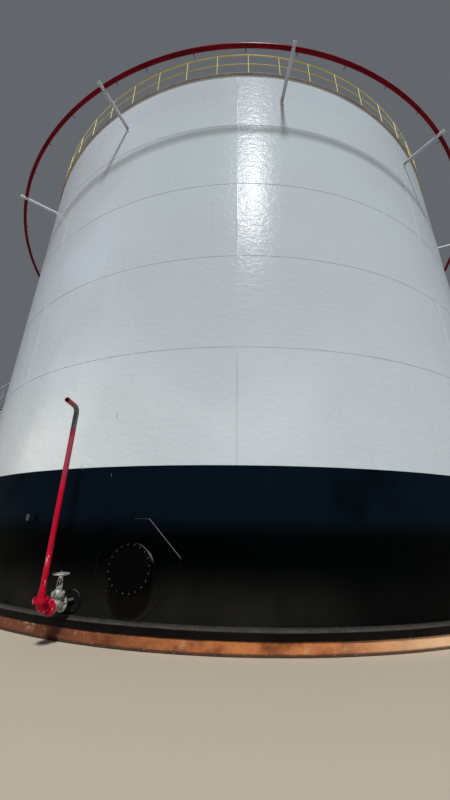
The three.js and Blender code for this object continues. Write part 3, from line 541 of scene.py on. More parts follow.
class Look:
    """A procedural material with its record slot, built from small steps."""

    def __init__(self, name, slot, roughness, metallic=0.0, ior=1.5):
        self.slot = slot
        self.material = bpy.data.materials.new(name)
        self.material.use_nodes = True
        self.tree = self.material.node_tree
        self.shader = self.tree.nodes["Principled BSDF"]
        for socket, value in (("Roughness", roughness), ("Metallic", metallic), ("IOR", ior)):
            self.shader.inputs[socket].default_value = value
        self.place = self.add("ShaderNodeTexCoord").outputs["Object"]
        self.grain = self.base = self.slope = None

    def add(self, kind, **settings):
        node = self.tree.nodes.new(kind)
        for key, value in settings.items():
            setattr(node, key, value)
        return node

    def feed(self, socket, value):
        if isinstance(value, bpy.types.NodeSocket):
            self.tree.links.new(value, socket)
        else:
            socket.default_value = value

    def math(self, operation, first, second=0.0):
        node = self.add("ShaderNodeMath", operation=operation)
        self.feed(node.inputs[0], first)
        self.feed(node.inputs[1], second)
        return node.outputs[0]

    def times(self, first, second):
        return self.math("MULTIPLY", first, second)

    def size(self, value):
        return self.math("ABSOLUTE", value)

    def vector(self, operation, first, second=(0, 0, 0)):
        node = self.add("ShaderNodeVectorMath", operation=operation)
        self.feed(node.inputs[0], first)
        node.inputs[1].default_value = tuple(second)
        return node.outputs

    def noise(self, scale, detail=3.0, stretch=(1, 1, 1)):
        mapping = self.add("ShaderNodeMapping")
        self.feed(mapping.inputs["Vector"], self.place)
        mapping.inputs["Scale"].default_value = stretch
        node = self.add("ShaderNodeTexNoise")
        self.feed(node.inputs["Vector"], mapping.outputs["Vector"])
        for socket, value in (("Scale", scale), ("Detail", detail), ("Roughness", NOISE_ROUGHNESS)):
            node.inputs[socket].default_value = value
        return node.outputs["Fac"]

    def band(self, value, low, high):
        """0 at low, 1 at high, smooth between; low may be the larger."""
        node = self.add("ShaderNodeMapRange", interpolation_type="SMOOTHSTEP")
        self.feed(node.inputs["Value"], value)
        flip = low > high
        node.inputs["From Min"].default_value = min(low, high)
        node.inputs["From Max"].default_value = max(low, high)
        node.inputs["To Min"].default_value = 1.0 if flip else 0.0
        node.inputs["To Max"].default_value = 0.0 if flip else 1.0
        return node.outputs["Result"]

    def patches(self, low, high, *grain):
        """A band of a noise."""
        return self.band(self.noise(*grain), low, high)

    def axes(self):
        node = self.add("ShaderNodeSeparateXYZ")
        self.feed(node.inputs[0], self.place)
        return node.outputs

    def height(self):
        return self.axes()["Z"]

    def radius(self):
        return self.distance_to((0, 0, 0), (1, 1, 0))

    def azimuth(self):
        """Degrees round the tank, from the front towards +X."""
        axes = self.axes()
        turned = self.math("ARCTAN2", axes["X"], self.times(axes["Y"], -1.0))
        return self.times(turned, 180 / math.pi)

    def facing(self, way=(0, 0, 1)):
        """1 where the surface faces that way, 0 where it stands across it."""
        normal = self.add("ShaderNodeNewGeometry").outputs["Normal"]
        return self.vector("DOT_PRODUCT", normal, way)["Value"]

    def distance_to(self, point, scale=(1, 1, 1)):
        apart = self.vector("SUBTRACT", self.place, point)["Vector"]
        scaled = self.vector("MULTIPLY", apart, scale)["Vector"]
        return self.vector("LENGTH", scaled)["Value"]

    def side(self, near, far, wander=0.0):
        """0 at azimuth near, 1 from azimuth far on, and back to 0 before the tank's back."""
        turned = self.azimuth()
        if wander:
            turned = self.math("ADD", turned, self.times(self.noise(0.7, 4), wander))
        before_back = self.band(self.size(self.azimuth()), 172.0, 100.0)
        return self.times(self.band(turned, near, far), before_back)

    def level_seams(self, half_width):
        """1 close to a level seam of the shell, 0 away from it."""
        above = self.math("SUBTRACT", self.height(), SHELL_FOOT)
        swing = self.math("PINGPONG", above, COURSE / 2)
        return self.band(swing, half_width, half_width * 0.3)

    def upright_seams(self, half_width):
        """1 close to an upright seam of the shell, 0 away from it."""
        swing = self.math("PINGPONG", self.azimuth(), PLATE_DEG / 2)
        above = self.math("SUBTRACT", self.height(), SHELL_FOOT)
        course = self.math("FLOOR", self.math("DIVIDE", above, COURSE))
        even = self.math("SUBTRACT", 1.0, self.math("FLOORED_MODULO", course, 2.0))
        away = self.size(self.math("SUBTRACT", swing, self.times(even, PLATE_DEG / 2)))
        metres = self.times(away, math.radians(1) * SHELL_R)
        return self.band(metres, half_width, half_width * 0.3)

    def mix(self, share, first, second):
        node = self.add("ShaderNodeMix", data_type="RGBA")
        self.feed(node.inputs["Factor"], share)
        for number, colour in ((MIX_FIRST, first), (MIX_SECOND, second)):
            plain = not isinstance(colour, bpy.types.NodeSocket)
            self.feed(node.inputs[number], (*colour, 1.0) if plain else colour)
        return node.outputs[MIX_RESULT]

    def clouds(self, grain, low, high, dark, light):
        """Sets the first colour, which goes with a noise from dark to light."""
        self.grain = self.noise(*grain)
        self.base = self.mix(self.band(self.grain, low, high), dark, light)

    def over(self, mask, colour, share=1.0):
        """Lays a colour over the rest where the mask is, at most to that share."""
        self.base = self.mix(self.times(mask, share), self.base, colour)

    def spots(self, grain, low, high, colour, share):
        self.over(self.patches(low, high, *grain), colour, share)

    def bump(self, strength, distance, *grain):
        node = self.add("ShaderNodeBump")
        node.inputs["Strength"].default_value = strength
        node.inputs["Distance"].default_value = distance
        self.feed(node.inputs["Height"], self.noise(*grain))
        if self.slope:
            self.feed(node.inputs["Normal"], self.slope)
        self.slope = node.outputs["Normal"]
        self.feed(self.shader.inputs["Normal"], self.slope)

    def shine(self, low, high):
        """Roughness from low to high as the grain goes from 0 to 1."""
        node = self.add("ShaderNodeMapRange")
        self.feed(node.inputs["Value"], self.grain)
        node.inputs["To Min"].default_value = low
        node.inputs["To Max"].default_value = high
        self.feed(self.shader.inputs["Roughness"], node.outputs["Result"])

    def finished(self, *bumps):
        """Ends the material, with bumps of strength, distance and grain."""
        self.feed(self.shader.inputs["Base Color"], self.base)
        for bump in bumps:
            self.bump(*bump)
        return self


def white_paint():
    look = Look("white_paint", "white_paint", 0.16, ior=1.103)
    # Painted light: lighter towards the bottom for light bounced off the ground, and lighter and bluer on
    # the left side for a painted reflection.
    painted_bounce_low, painted_bounce_lowest = (look.band(look.height(), high, low) for high, low in ((12.5, 6.0), (6.5, 3.5)))
    middle = look.mix(painted_bounce_low, (0.585, 0.660, 0.705), (0.600, 0.664, 0.695))
    middle = look.mix(painted_bounce_lowest, middle, (0.690, 0.760, 0.785))
    painted_reflection_left = look.mix(painted_bounce_low, (0.695, 0.755, 0.825), (0.750, 0.835, 0.930))
    painted_reflection_left = look.mix(painted_bounce_lowest, painted_reflection_left, (0.940, 1.0, 1.0))
    look.base = look.mix(look.side(-8.0, -32.0), middle, painted_reflection_left)
    look.spots((0.22, 4), 0.38, 0.62, (0.57, 0.62, 0.645), 0.5)
    look.spots((1.0, 5, (7.0, 7.0, 0.22)), 0.52, 0.78, (0.45, 0.46, 0.45), 0.06)
    look.spots((9.0, 4), 0.70, 0.80, (0.40, 0.39, 0.36), 0.25)
    broken = look.times(look.patches(0.35, 0.62, 3.5, 3), 0.16)
    look.over(look.times(look.level_seams(0.024), broken), (0.33, 0.33, 0.34))
    aside = look.band(look.size(look.azimuth()), 14.0, 24.0)
    upright_line = look.mix(aside, (0.46, 0.49, 0.50), (0.98, 0.99, 1.0))
    look.over(look.upright_seams(0.022), upright_line, 0.55)
    scratch = look.distance_to(polar(SHELL_R, -14.8, 3.83), (1, 1, 0.09))
    look.over(look.band(scratch, 0.010, 0.004), (0.20, 0.20, 0.20), 0.6)
    look.grain = look.noise(2.2, 5, (5.0, 5.0, 1.0))
    look.shine(0.15, 0.25)
    return look.finished((0.9, 0.0085, 9.0, 3, (0.8, 0.8, 1.0)), (0.9, 0.0018, 34.0, 2))


def seam_paint():
    look = Look("seam_paint", "white_paint", 0.3)
    look.base = look.mix(look.noise(6.0, 3), (0.72, 0.78, 0.81), (0.86, 0.90, 0.92))
    return look.finished((0.4, 0.001, 60.0, 2))


def black_paint():
    look = Look("black_paint", "black_paint", 0.3, ior=1.10)
    look.clouds((0.6, 4), 0.35, 0.65, (0.0005, 0.0008, 0.0012), (0.0012, 0.0016, 0.0021))
    # Painted reflection: a bluish tint near the top of the black course, towards the front, for the sky.
    painted_sky_reflection = look.times(look.band(look.height(), 1.55, 2.0), look.patches(0.2, 0.45, 0.5, 3))
    front = look.band(look.size(look.azimuth()), 70.0, 40.0)
    look.over(look.times(painted_sky_reflection, front), (0.0042, 0.0118, 0.0215))
    # Lighter towards the bottom, partly dust and partly a painted reflection of the ground, and weaker on
    # the right.
    dust_and_ground_reflection = look.times(look.band(look.height(), 1.25, 0.45), look.noise(1.4, 5, (1, 1, 0.6)))
    dust_and_reflection_by_side = look.math("SUBTRACT", 1.0, look.times(look.side(4.0, 15.0), 0.8))
    look.over(look.times(dust_and_ground_reflection, dust_and_reflection_by_side), (0.11, 0.11, 0.10), 0.36)
    look.spots((1.0, 4, (6.0, 6.0, 0.3)), 0.55, 0.8, (0.05, 0.05, 0.05), 0.05)
    for azimuth, z, size, slimness in PALE_MARKS:
        away = look.distance_to(polar(SHELL_R, azimuth, z), (1, 1, slimness))
        ragged = look.math("ADD", away, look.times(look.noise(30.0, 3), size * 0.8))
        look.over(look.band(ragged, size * 1.25, size), (0.30, 0.30, 0.28))
    look.grain = look.noise(1.6, 5, (3.0, 3.0, 1.0))
    look.shine(0.24, 0.42)
    return look.finished((0.35, 0.003, 11.0, 3), (0.2, 0.0006, 110.0, 2))


def bright_edged(name, way, grey, low, high, above=-BRIGHT_FADE, ior=1.14, foot=BLACK):
    """Black paint with a painted highlight: a grey where the surface faces one way, above a level."""
    look = Look(name, "black_paint", 0.2, ior=ior)
    look.base = look.mix(look.noise(4.0, 4), (0.0006, 0.0009, 0.0013), (0.0022, 0.0026, 0.0030))
    look.over(look.band(look.height(), 1.25, 0.45), foot)
    painted_highlight = look.times(look.band(look.facing(way), low, high), look.patches(0.2, 0.5, 25.0, 4))
    look.over(look.times(painted_highlight, look.band(look.height(), above, above + BRIGHT_FADE)), grey)
    look.grain = look.noise(9.0, 4)
    look.shine(0.16, 0.28)
    return look.finished((0.4, 0.0008, 90.0, 2))


def chime_paint():
    """Black paint turned grey, partly by dust and partly by painted light, for the edge of the bottom plate.
    """
    look = Look("chime_paint", "black_paint", 0.35)
    look.clouds((9.0, 5), 0.3, 0.7, (0.050, 0.048, 0.045), (0.090, 0.086, 0.081))
    look.grain = look.noise(5.0, 4)
    look.shine(0.2, 0.4)
    return look.finished((0.4, 0.001, 40.0, 3))


def kerb_coating():
    look = Look("kerb_coating", "kerb_coating", 0.45, ior=1.25)
    look.clouds((2.0, 5), 0.35, 0.7, (0.0045, 0.0042, 0.0038), (0.0095, 0.0085, 0.0075))
    # The top faces are grey, partly dust and partly painted light: the lamp's glare and the reflection of
    # the wall.
    dust_and_painted_light = look.mix(look.patches(0.3, 0.7, 7.0, 5), (0.070, 0.067, 0.063), (0.098, 0.091, 0.085))
    top = look.band(look.facing(), 0.55, 0.9)
    look.over(top, dust_and_painted_light)
    look.over(look.times(look.patches(0.66, 0.72, 45.0, 2), top), (0.42, 0.41, 0.38), 0.6)
    look.shine(0.35, 0.55)
    return look.finished((0.5, 0.004, 14.0, 5))


def stained_concrete():
    look = Look("ring_wall_concrete", "ring_wall_concrete", 0.9)
    look.clouds((2.2, 6, (1, 1, 1.6)), 0.34, 0.66, (0.27, 0.082, 0.022), (0.64, 0.255, 0.088))
    look.over(look.side(12.0, 33.0, 16.0), (0.97, 0.68, 0.42), 0.95)
    look.over(look.side(8.0, -16.0, 10.0), (0.14, 0.047, 0.026), 0.84)
    look.spots((5.5, 6, (1, 1, 1.3)), 0.58, 0.70, (0.62, 0.42, 0.28), 0.55)
    look.spots((6.5, 6, (1, 1, 1.2)), 0.60, 0.74, (0.15, 0.055, 0.022), 0.60)
    look.over(look.band(look.height(), 0.060, 0.030), (0.07, 0.045, 0.032), 0.9)
    look.spots((1.0, 3, (14.0, 14.0, 46.0)), 0.66, 0.72, (0.70, 0.56, 0.44), 0.6)
    look.spots((60.0, 3), 0.62, 0.75, (0.72, 0.54, 0.40), 0.60)
    look.shine(0.8, 0.98)
    return look.finished((0.9, 0.012, 9.0, 6), (0.6, 0.003, 70.0, 4))


def angle_paint():
    look = Look("angle_paint", "angle_paint", 0.5)
    look.clouds((1.4, 5), 0.35, 0.68, (0.40, 0.36, 0.33), (0.54, 0.50, 0.47))
    look.spots((7.0, 5), 0.62, 0.74, (0.22, 0.12, 0.07), 0.6)
    # Painted shade: the underside of the flange is darker towards the shell, in the corner under it.
    look.over(look.band(look.radius(), SHELL_R + 0.050, SHELL_R + 0.015), (0.20, 0.17, 0.15), 0.5)
    look.over(look.band(look.radius(), SHELL_R + 0.008, SHELL_R + 0.003), (0.60, 0.66, 0.69))
    look.shine(0.4, 0.65)
    return look.finished((0.3, 0.001, 40.0, 3))


def yellow_paint():
    look = Look("yellow_paint", "yellow_paint", 0.38)
    look.clouds((2.4, 4), 0.36, 0.66, (0.56, 0.46, 0.060), (0.64, 0.57, 0.15))
    # Painted highlight: the faces that look up are lighter.
    look.over(look.band(look.facing(), 0.2, 0.9), (0.78, 0.72, 0.42), 0.35)
    look.over(look.band(look.size(look.azimuth()), 18.0, 40.0), (0.86, 0.80, 0.58), 0.45)
    look.spots((38.0, 4), 0.66, 0.74, (0.30, 0.22, 0.12), 0.7)
    look.shine(0.28, 0.5)
    return look.finished((0.2, 0.0004, 160.0, 2))


def ring_red_paint():
    look = Look("ring_red_paint", "ring_red_paint", 0.3, ior=1.2)
    look.clouds((1.1, 4), 0.36, 0.66, (0.130, 0.0009, 0.0085), (0.195, 0.0013, 0.0135))
    look.spots((26.0, 4), 0.68, 0.76, (0.16, 0.01, 0.015), 0.6)
    look.shine(0.2, 0.34)
    return look.finished((0.2, 0.0006, 90.0, 2))


def riser_red_paint():
    look = Look("riser_red_paint", "riser_red_paint", 0.26, ior=1.3)
    look.clouds((4.0, 4), 0.36, 0.66, (0.52, 0.004, 0.035), (0.66, 0.008, 0.055))
    look.over(look.band(look.height(), 2.25, 2.75), (0.30, 0.135, 0.17), 0.55)
    scuffs = look.patches(0.585, 0.66, 1.0, 5, (26.0, 26.0, 7.0))
    look.over(look.times(look.band(look.height(), 1.75, 1.15), scuffs), (0.74, 0.45, 0.46), 0.6)
    bare = look.distance_to(polar(SHELL_R + RISER_OUT + RISER_R, VALVE_AZ + 0.10, 1.25), (1, 1, 0.28))
    flaked = look.patches(0.52, 0.58, 1.0, 4, (70.0, 70.0, 24.0))
    look.over(look.times(look.band(bare, 0.032, 0.016), flaked), (0.80, 0.66, 0.66))
    look.shine(0.2, 0.4)
    return look.finished((0.3, 0.0010, 70.0, 3))


def toned(colour, tone):
    return tuple(tone * part for part in colour)


def galvanised(name="galvanised_steel", tone=1.0):
    look = Look(name, "galvanised", 0.45, metallic=0.45)
    look.clouds((3.0, 4), 0.35, 0.65, toned((0.50, 0.515, 0.515), tone), toned((0.63, 0.64, 0.635), tone))
    cells = look.add("ShaderNodeTexVoronoi")
    look.feed(cells.inputs["Vector"], look.place)
    cells.inputs["Scale"].default_value = 75.0
    spangle = look.add("ShaderNodeSeparateColor")
    look.feed(spangle.inputs[0], cells.outputs["Color"])
    look.over(spangle.outputs[0], toned((0.74, 0.75, 0.75), tone), 0.22)
    look.spots((11.0, 5), 0.63, 0.78, toned((0.34, 0.31, 0.28), tone), 0.4)
    look.grain = spangle.outputs[1]
    look.shine(0.34, 0.56)
    return look.finished((0.15, 0.0005, 120.0, 2))


def arm_steel():
    look = Look("arm_steel", "galvanised", 0.45)
    look.clouds((3.0, 4), 0.35, 0.65, (0.60, 0.605, 0.66), (0.68, 0.69, 0.75))
    # Painted reflection: the undersides of the arms on the left side are made near white.
    under = look.band(look.facing((0.0, 0.0, -1.0)), 0.15, 0.45)
    look.over(look.times(look.side(-35.0, -48.0), under), (0.93, 0.97, 1.0))
    look.shine(0.35, 0.55)
    return look.finished((0.2, 0.0006, 90.0, 2))


def valve_iron():
    look = Look("valve_iron", "valve_iron", 0.48, metallic=0.25)
    look.clouds((12.0, 5), 0.35, 0.65, (0.38, 0.40, 0.35), (0.58, 0.60, 0.53))
    look.spots((34.0, 5), 0.50, 0.62, (0.075, 0.070, 0.055), 0.8)
    look.spots((48.0, 3), 0.70, 0.74, (0.45, 0.03, 0.05), 0.6)
    look.shine(0.36, 0.62)
    return look.finished((0.55, 0.0016, 130.0, 4))


def stem_steel():
    look = Look("stem_steel", "stem_steel", 0.35, metallic=0.9)
    look.clouds((30.0, 3), 0.4, 0.65, (0.42, 0.42, 0.41), (0.55, 0.54, 0.52))
    look.spots((60.0, 4), 0.58, 0.70, (0.05, 0.042, 0.03), 0.8)
    look.shine(0.25, 0.45)
    return look.finished((0.2, 0.0004, 200.0, 2))


def bolt_zinc():
    look = Look("bolt_zinc", "galvanised", 0.3, metallic=0.7)
    look.clouds((90.0, 3), 0.4, 0.65, (0.62, 0.62, 0.60), (0.80, 0.80, 0.78))
    look.spots((150.0, 4), 0.66, 0.74, (0.28, 0.13, 0.06), 0.6)
    look.shine(0.2, 0.42)
    return look.finished((0.2, 0.0004, 240.0, 2))


# Foundation and bottom

def round_slab(levels, steps=SLAB_STEPS):
    """A solid round slab from levels of [radius for each azimuth, height for each azimuth], low to high."""
    angles = np.radians(full_turn(steps))
    sections = []
    for radius, height in levels:
        r, z = np.broadcast_to(radius, steps), np.broadcast_to(height, steps)
        sections.append(np.column_stack([r * np.sin(angles), -r * np.cos(angles), z]))
    return loft(sections)


def uneven(steps, ripples):
    """A sum of [size, turns] ripples round the tank."""
    angles = np.radians(full_turn(steps))
    return sum(size * np.sin(turns * angles + turns * 0.37) for size, turns in ripples)


def build_ring_wall(look):
    rough = uneven(SLAB_STEPS, WALL_RIPPLES)
    crumble = 0.010 * np.clip(uneven(SLAB_STEPS, CRUMBLE_RIPPLES) - 0.75, 0, 1)
    r = RING_WALL_R + 0.002 - 0.015 * np.sin(2 * np.radians(full_turn(SLAB_STEPS))) + rough
    make("ring_wall_face", round_slab([
        (r - 0.008, 0), (r - 0.001, 0.010), (r + rough, 0.07), (r - rough, 0.14),
        (r, RING_WALL_TOP - 0.012 - crumble), (r - 0.008 - crumble, RING_WALL_TOP),
    ]), look, ["ring_wall"])


def build_kerb(look):
    wave = uneven(SLAB_STEPS, KERB_RIPPLES)
    lift = uneven(SLAB_STEPS, KERB_EDGE_RIPPLES)
    r = KERB_R - 0.004 + wave
    edge = KERB_EDGE_TOP - 0.004 + lift
    make("kerb_band", round_slab([
        (r - 0.005, KERB_FOOT), (r, KERB_FOOT + 0.006), (r + 0.001, (KERB_FOOT + KERB_EDGE_TOP) / 2),
        (r, edge - 0.012), (r - 0.0025, edge - 0.005), (r - 0.008, edge), (KERB_TOP_R, KERB_TOP - 0.001),
        (KERB_TOP_R - 0.3, KERB_TOP),
    ]), look, ["kerb"])


def build_bottom(look, dust_and_painted_light):
    inner = BOTTOM_R - BOTTOM_CHAMFER
    make("bottom_chime", round_slab([
        (inner, BOTTOM_FOOT), (BOTTOM_R, BOTTOM_FOOT + BOTTOM_CHAMFER),
        (BOTTOM_R, BOTTOM_TOP - BOTTOM_CHAMFER), (inner, BOTTOM_TOP),
    ], CHIME_STEPS), dust_and_painted_light, ["bottom_plate"])
    size = 0.008 + uneven(FOOT_WELD_STEPS, WELD_RIPPLES)
    points = [polar(SHELL_R - 0.001, azimuth, BOTTOM_TOP + 0.001) for azimuth in full_turn(FOOT_WELD_STEPS)]
    make("foot_weld", tube(points, size, 7, loop=True), look)


# Shell

def seam_peak(turned):
    """1 at a plate's upright seam, falling off to both sides."""
    away = np.abs((turned + PLATE_DEG / 2) % PLATE_DEG - PLATE_DEG / 2)
    return np.exp(-np.radians(away) * SHELL_R / PEAK_REACH)


def ripple(azimuth, z):
    """How far the plates lie inside the true round: drawn in at level seams, peaked at upright ones."""
    course = (z - SHELL_FOOT) / COURSE
    near_seam = np.exp(-((course - np.round(course)) * COURSE / SEAM_DRAWN_REACH) ** 2)
    offset = np.where(np.floor(course) % 2 == 0, PLATE_DEG / 2, 0.0)
    peak = seam_peak(azimuth - offset) + CARRIED_PEAK * seam_peak(azimuth - offset - PLATE_DEG / 2)
    shift = np.floor(course) * 1.7
    turned = np.radians(azimuth)
    slack = 0.5 + 0.5 * np.sin(turned * 11 + shift) * np.sin(course * math.pi * 2 + azimuth * 0.07)
    fine = 0.5 + 0.5 * np.sin(turned * 37 + shift * 2.3) * np.cos(z * 2.9 + azimuth * 0.21)
    return SEAM_DRAWN_IN * near_seam + SLACK * slack + FINE_SLACK * fine - PEAK_HEIGHT * peak


def shell_azimuths():
    """Even steps, with closer ones beside every place where plates may meet."""
    azimuths = set(full_turn(SHELL_STEPS))
    for n in range(PLATES * 2):
        for beside in SEAM_CLOSE_STEPS:
            azimuths.add((n * PLATE_DEG / 2 + beside) % 360)
    return sorted(azimuths)


def shell_wall(low, high, rows):
    heights = np.linspace(low, high, rows + 1)
    sections = []
    for azimuth in shell_azimuths():
        sine, cosine = math.sin(math.radians(azimuth)), math.cos(math.radians(azimuth))
        r = SHELL_R - ripple(azimuth, heights)
        outer = np.column_stack([r * sine, -r * cosine, heights])
        r = SHELL_R - SHELL_PLATE
        inner = np.array([[r * sine, -r * cosine, high], [r * sine, -r * cosine, low]])
        sections.append(np.concatenate([outer, inner]))
    return loft(sections, loop=True)


def level_bead(z):
    section = []
    for angle in np.linspace(0, math.pi, 7):
        radius = SHELL_R - BEAD_SUNK + math.sin(angle) * (BEAD_HEIGHT + BEAD_SUNK)
        section.append((radius, z - BEAD_WIDTH / 2 * math.cos(angle)))
    return turned_wall(section, full_turn(BEAD_STEPS))


def upright_beads(course):
    """The beads of the upright seams in a course, counted from the lowest, 0."""
    low = SHELL_FOOT + course * COURSE
    high = low + COURSE
    first = PLATE_DEG / 2 if course % 2 == 0 else 0.0
    beads = []
    for n in range(PLATES):
        azimuth = first + n * PLATE_DEG
        points, radii = [], []
        for t in np.linspace(0, 1, 29):
            z = low + SEAM_BEAD_INSET + (high - SEAM_BEAD_INSET - (low + SEAM_BEAD_INSET)) * t
            points.append(polar(SHELL_R - SEAM_BEAD_SUNK, azimuth + 0.004 * math.sin(t * 40), z))
            radii.append(SEAM_BEAD_R + 0.0004 * math.sin(t * 90))
        beads.append(tube(points, radii, 10, first_side=ACROSS))
    return beads


def plates_of(name):
    return [f"{name}_{n + 1}" for n in range(PLATES)]


def build_shell(white, seam, black):
    make("lowest_course", shell_wall(SHELL_FOOT, BAND_TOP, 12), black, plates_of("black_course"))
    make("upper_courses", shell_wall(BAND_TOP + GAP, SHELL_TOP, 60), white, plates_of("shell"))
    make("level_seams", joined([level_bead(SHELL_FOOT + COURSE * n) for n in range(2, COURSES)]), white)
    make("upright_seams", joined(sum((upright_beads(course) for course in range(1, COURSES)), [])), seam)
    make("black_seams", joined([*upright_beads(0), level_bead(BAND_TOP - BEAD_WIDTH * 0.5)]), black)


def build_shell_fittings(black, painted_highlight, white):
    place = outward(*CLEAT_AT)
    cleat = [(-0.030, -0.065), (0.150, -0.065), (0.150, 0.065), (-0.030, 0.065)]
    make("shell_cleat", placed(prism(cleat, 0.055), place), black, bevel=0.003)
    # The tag's look paints a highlight on its faces that turn towards the lamp.
    tag = [(-0.125, -0.060), (-0.031, -0.060), (-0.031, 0.060), (-0.125, 0.060)]
    make("cleat_tag", placed(prism(tag, 0.050), place), painted_highlight, bevel=0.003)
    stud = spun([(0.024, 0), (0.024, 0.012), (0.014, 0.016), (0.014, 0.052), (0.009, 0.056)], 16)
    make("shell_stud", placed(stud, outward(*STUD_AT)), white)


# Top angle, roof and vent

def build_top_angle(look):
    plate, leg = ANGLE_PLATE, SHELL_R
    heel = leg - plate
    outer = heel + ANGLE_REACH
    low, top = SHELL_TOP + GAP, TOP_LEVEL
    section = [
        (heel, low), (leg, low), (leg, top - plate * 2), (leg + plate * 0.3, top - plate * 1.3),
        (leg + plate, top - plate), (outer - plate * 0.4, top - plate), (outer, top - plate * 0.6),
        (outer, top - 0.001), (outer - 0.001, top), (heel, top),
    ]
    make("top_angle_ring", turned_wall(section, full_turn(SHELL_STEPS)), look, ["top_angle"])


def roof_height(radius):
    return TOP_LEVEL + GAP + (ROOF_R - radius) * ROOF_SLOPE + ROOF_PLATE


def build_roof(look):
    edge = 0.001
    radii = np.linspace(0.05, ROOF_R - 0.002, 24)
    under = [(r, roof_height(r) - ROOF_PLATE) for r in radii]
    rim = [(ROOF_R, roof_height(ROOF_R) - ROOF_PLATE + edge), (ROOF_R, roof_height(ROOF_R) - edge)]
    top = [(r, roof_height(r)) for r in radii[::-1]]
    make("roof_plates", spun([*under, *rim, *top], ROOF_SIDES), look, ["roof"])


def lap(places):
    """A lapped seam of the roof through [x, y] places."""
    return tube([(x, y, roof_height(math.hypot(x, y)) - LAP_SUNK) for x, y in places], LAP_R, 6)


def build_roof_seams(look):
    laps = []
    rows = int((ROOF_R - 0.4) // ROOF_STRIP)
    for row in range(-rows, rows + 1):
        middle = row * ROOF_STRIP + ROOF_STRIP / 2
        offset = middle if abs(middle) < LAP_LIMIT else row * ROOF_STRIP
        reach = math.sqrt((ROOF_R - 0.05) ** 2 - offset ** 2)
        laps.append(lap([(x, offset) for x in np.linspace(-reach, reach, 90)]))
    for row in range(-rows, rows):
        low = row * ROOF_STRIP + ROOF_STRIP / 2
        high = low + ROOF_STRIP
        shift = 2.6 if row % 2 else -1.4
        for x in (shift - PLATE_LENGTH, shift, shift + PLATE_LENGTH):
            if math.hypot(x, max(abs(low), abs(high))) < ROOF_R - 0.3:
                laps.append(lap([(x, y) for y in np.linspace(low, high, 12)]))
    make("roof_laps", joined(laps), look)


def build_vent(look, zinc):
    foot = roof_height(0.0) + GAP
    profile = [
        (VENT_FOOT_R, foot - VENT_FOOT_R * ROOF_SLOPE), (VENT_FOOT_R, foot + VENT_FLANGE),
        (VENT_NECK_R, foot + VENT_FLANGE), (VENT_NECK_R, foot + VENT_NECK), (VENT_CAP_R, foot + VENT_NECK),
        (VENT_CAP_R, foot + VENT_NECK + 0.04), (VENT_NECK_R, foot + VENT_NECK + 0.108),
        (0.02, foot + VENT_NECK + 0.110),
    ]
    make("vent_hood", spun(profile, 48, 0.006), look, ["roof_vent"])
    nuts = circle_of(nut_and_stud(*VENT_NUT), 8, VENT_BOLT_R)
    make("vent_bolts", placed(nuts, lifted(foot + VENT_FLANGE)), zinc)


# Roof rail

def build_roof_rail(index, look):
    panel_posts = RAIL_POSTS // RAIL_PANELS
    first = ENTRY_AZ + POST_PITCH / 2 + index * panel_posts * POST_PITCH
    last = first + (panel_posts - 1) * POST_PITCH
    start = first - (0 if index == 0 else RAIL_END)
    end = last + (0 if index == RAIL_PANELS - 1 else RAIL_END)
    foot = TOP_LEVEL + GAP
    parts = []
    for n in range(panel_posts):
        azimuth = first + n * POST_PITCH
        parts.append(placed(block(*RAIL_POST_FOOT), upright(azimuth, RAIL_R, foot)))
        parts.append(post(RAIL_R, azimuth, foot, TOP_LEVEL + RAIL_HEIGHT, RAIL_TUBE_R,
                          RAIL_POST_START))
    for height, radius in ((RAIL_HEIGHT, RAIL_TUBE_R), (MID_RAIL_HEIGHT, MID_RAIL_TUBE_R)):
        z = TOP_LEVEL + height
        parts.append(tube(arc_points(RAIL_R, start, end, z, z, 90), radius, 12))
    make(f"roof_handrail_{index + 1}", joined(parts), look, [f"roof_rail_{index + 1}"])


# Spray ring and arms

def nozzle_azimuths():
    arm_pitch = 360 / ARMS
    arm_half = math.degrees((ARM_WIDTH / 2 + NOZZLE_R) / RING_R)
    for n in range(NOZZLES):
        azimuth = NOZZLE_MIDDLE_AZ + (n - (NOZZLES - 1) / 2) * NOZZLE_SPACING
        from_arm = (azimuth - ARM_FIRST_AZ) / arm_pitch
        aside = abs(from_arm - round(from_arm)) * arm_pitch < arm_half
        yield azimuth + NOZZLE_ASIDE if aside else azimuth


def build_ring(look, steel):
    sweep = 360 / RING_NODES
    for index in range(RING_NODES):
        start = RING_JOINT_AZ + index * sweep
        points = arc_points(RING_R, start, start + sweep - RING_JOINT_DEG, RING_Z, RING_Z, 100)
        make(f"spray_pipe_{index + 1}", tube(points, RING_PIPE_R, 20), look, [f"spray_ring_{index + 1}"])
    slim, wide, end = 0.009, 0.0135, NOZZLE_REACH
    socket = spun([(wide, 0.045), (wide, 0.070), (slim, 0.074), (slim, end - 0.040)], 12)
    tip = spun([(slim, end - 0.042), (wide, end - 0.037), (wide, end - 0.010), (0.008, end)], 12)
    for name, shape, paint in (("nozzle_sockets", socket, look), ("nozzle_tips", tip, steel)):
        make(name, joined([placed(shape, upright(azimuth, RING_R, RING_Z) @ LAID_IN)
                           for azimuth in nozzle_azimuths()]), paint)


def channel_arm():
    """An upside-down channel along -Y from the shell, with its foot plate."""
    half, inside = ARM_WIDTH / 2, ARM_WIDTH / 2 - ARM_PLATE
    outline = [
        (-half, 0), (-half, -ARM_DEPTH), (-inside, -ARM_DEPTH), (-inside, -ARM_PLATE),
        (inside, -ARM_PLATE), (inside, -ARM_DEPTH), (half, -ARM_DEPTH), (half, 0),
    ]
    channel = placed(prism(outline, ARM_END_R - SHELL_R - GAP), Matrix.Translation((0, -GAP, 0)) @ LAID_OUT)
    foot = placed(block(ARM_FOOT_WIDTH, ARM_FOOT_PLATE, ARM_FOOT_HEIGHT),
                  Matrix.Translation((0, -GAP - ARM_FOOT_PLATE / 2, -ARM_DEPTH - ARM_FOOT_BELOW)))
    return channel, foot


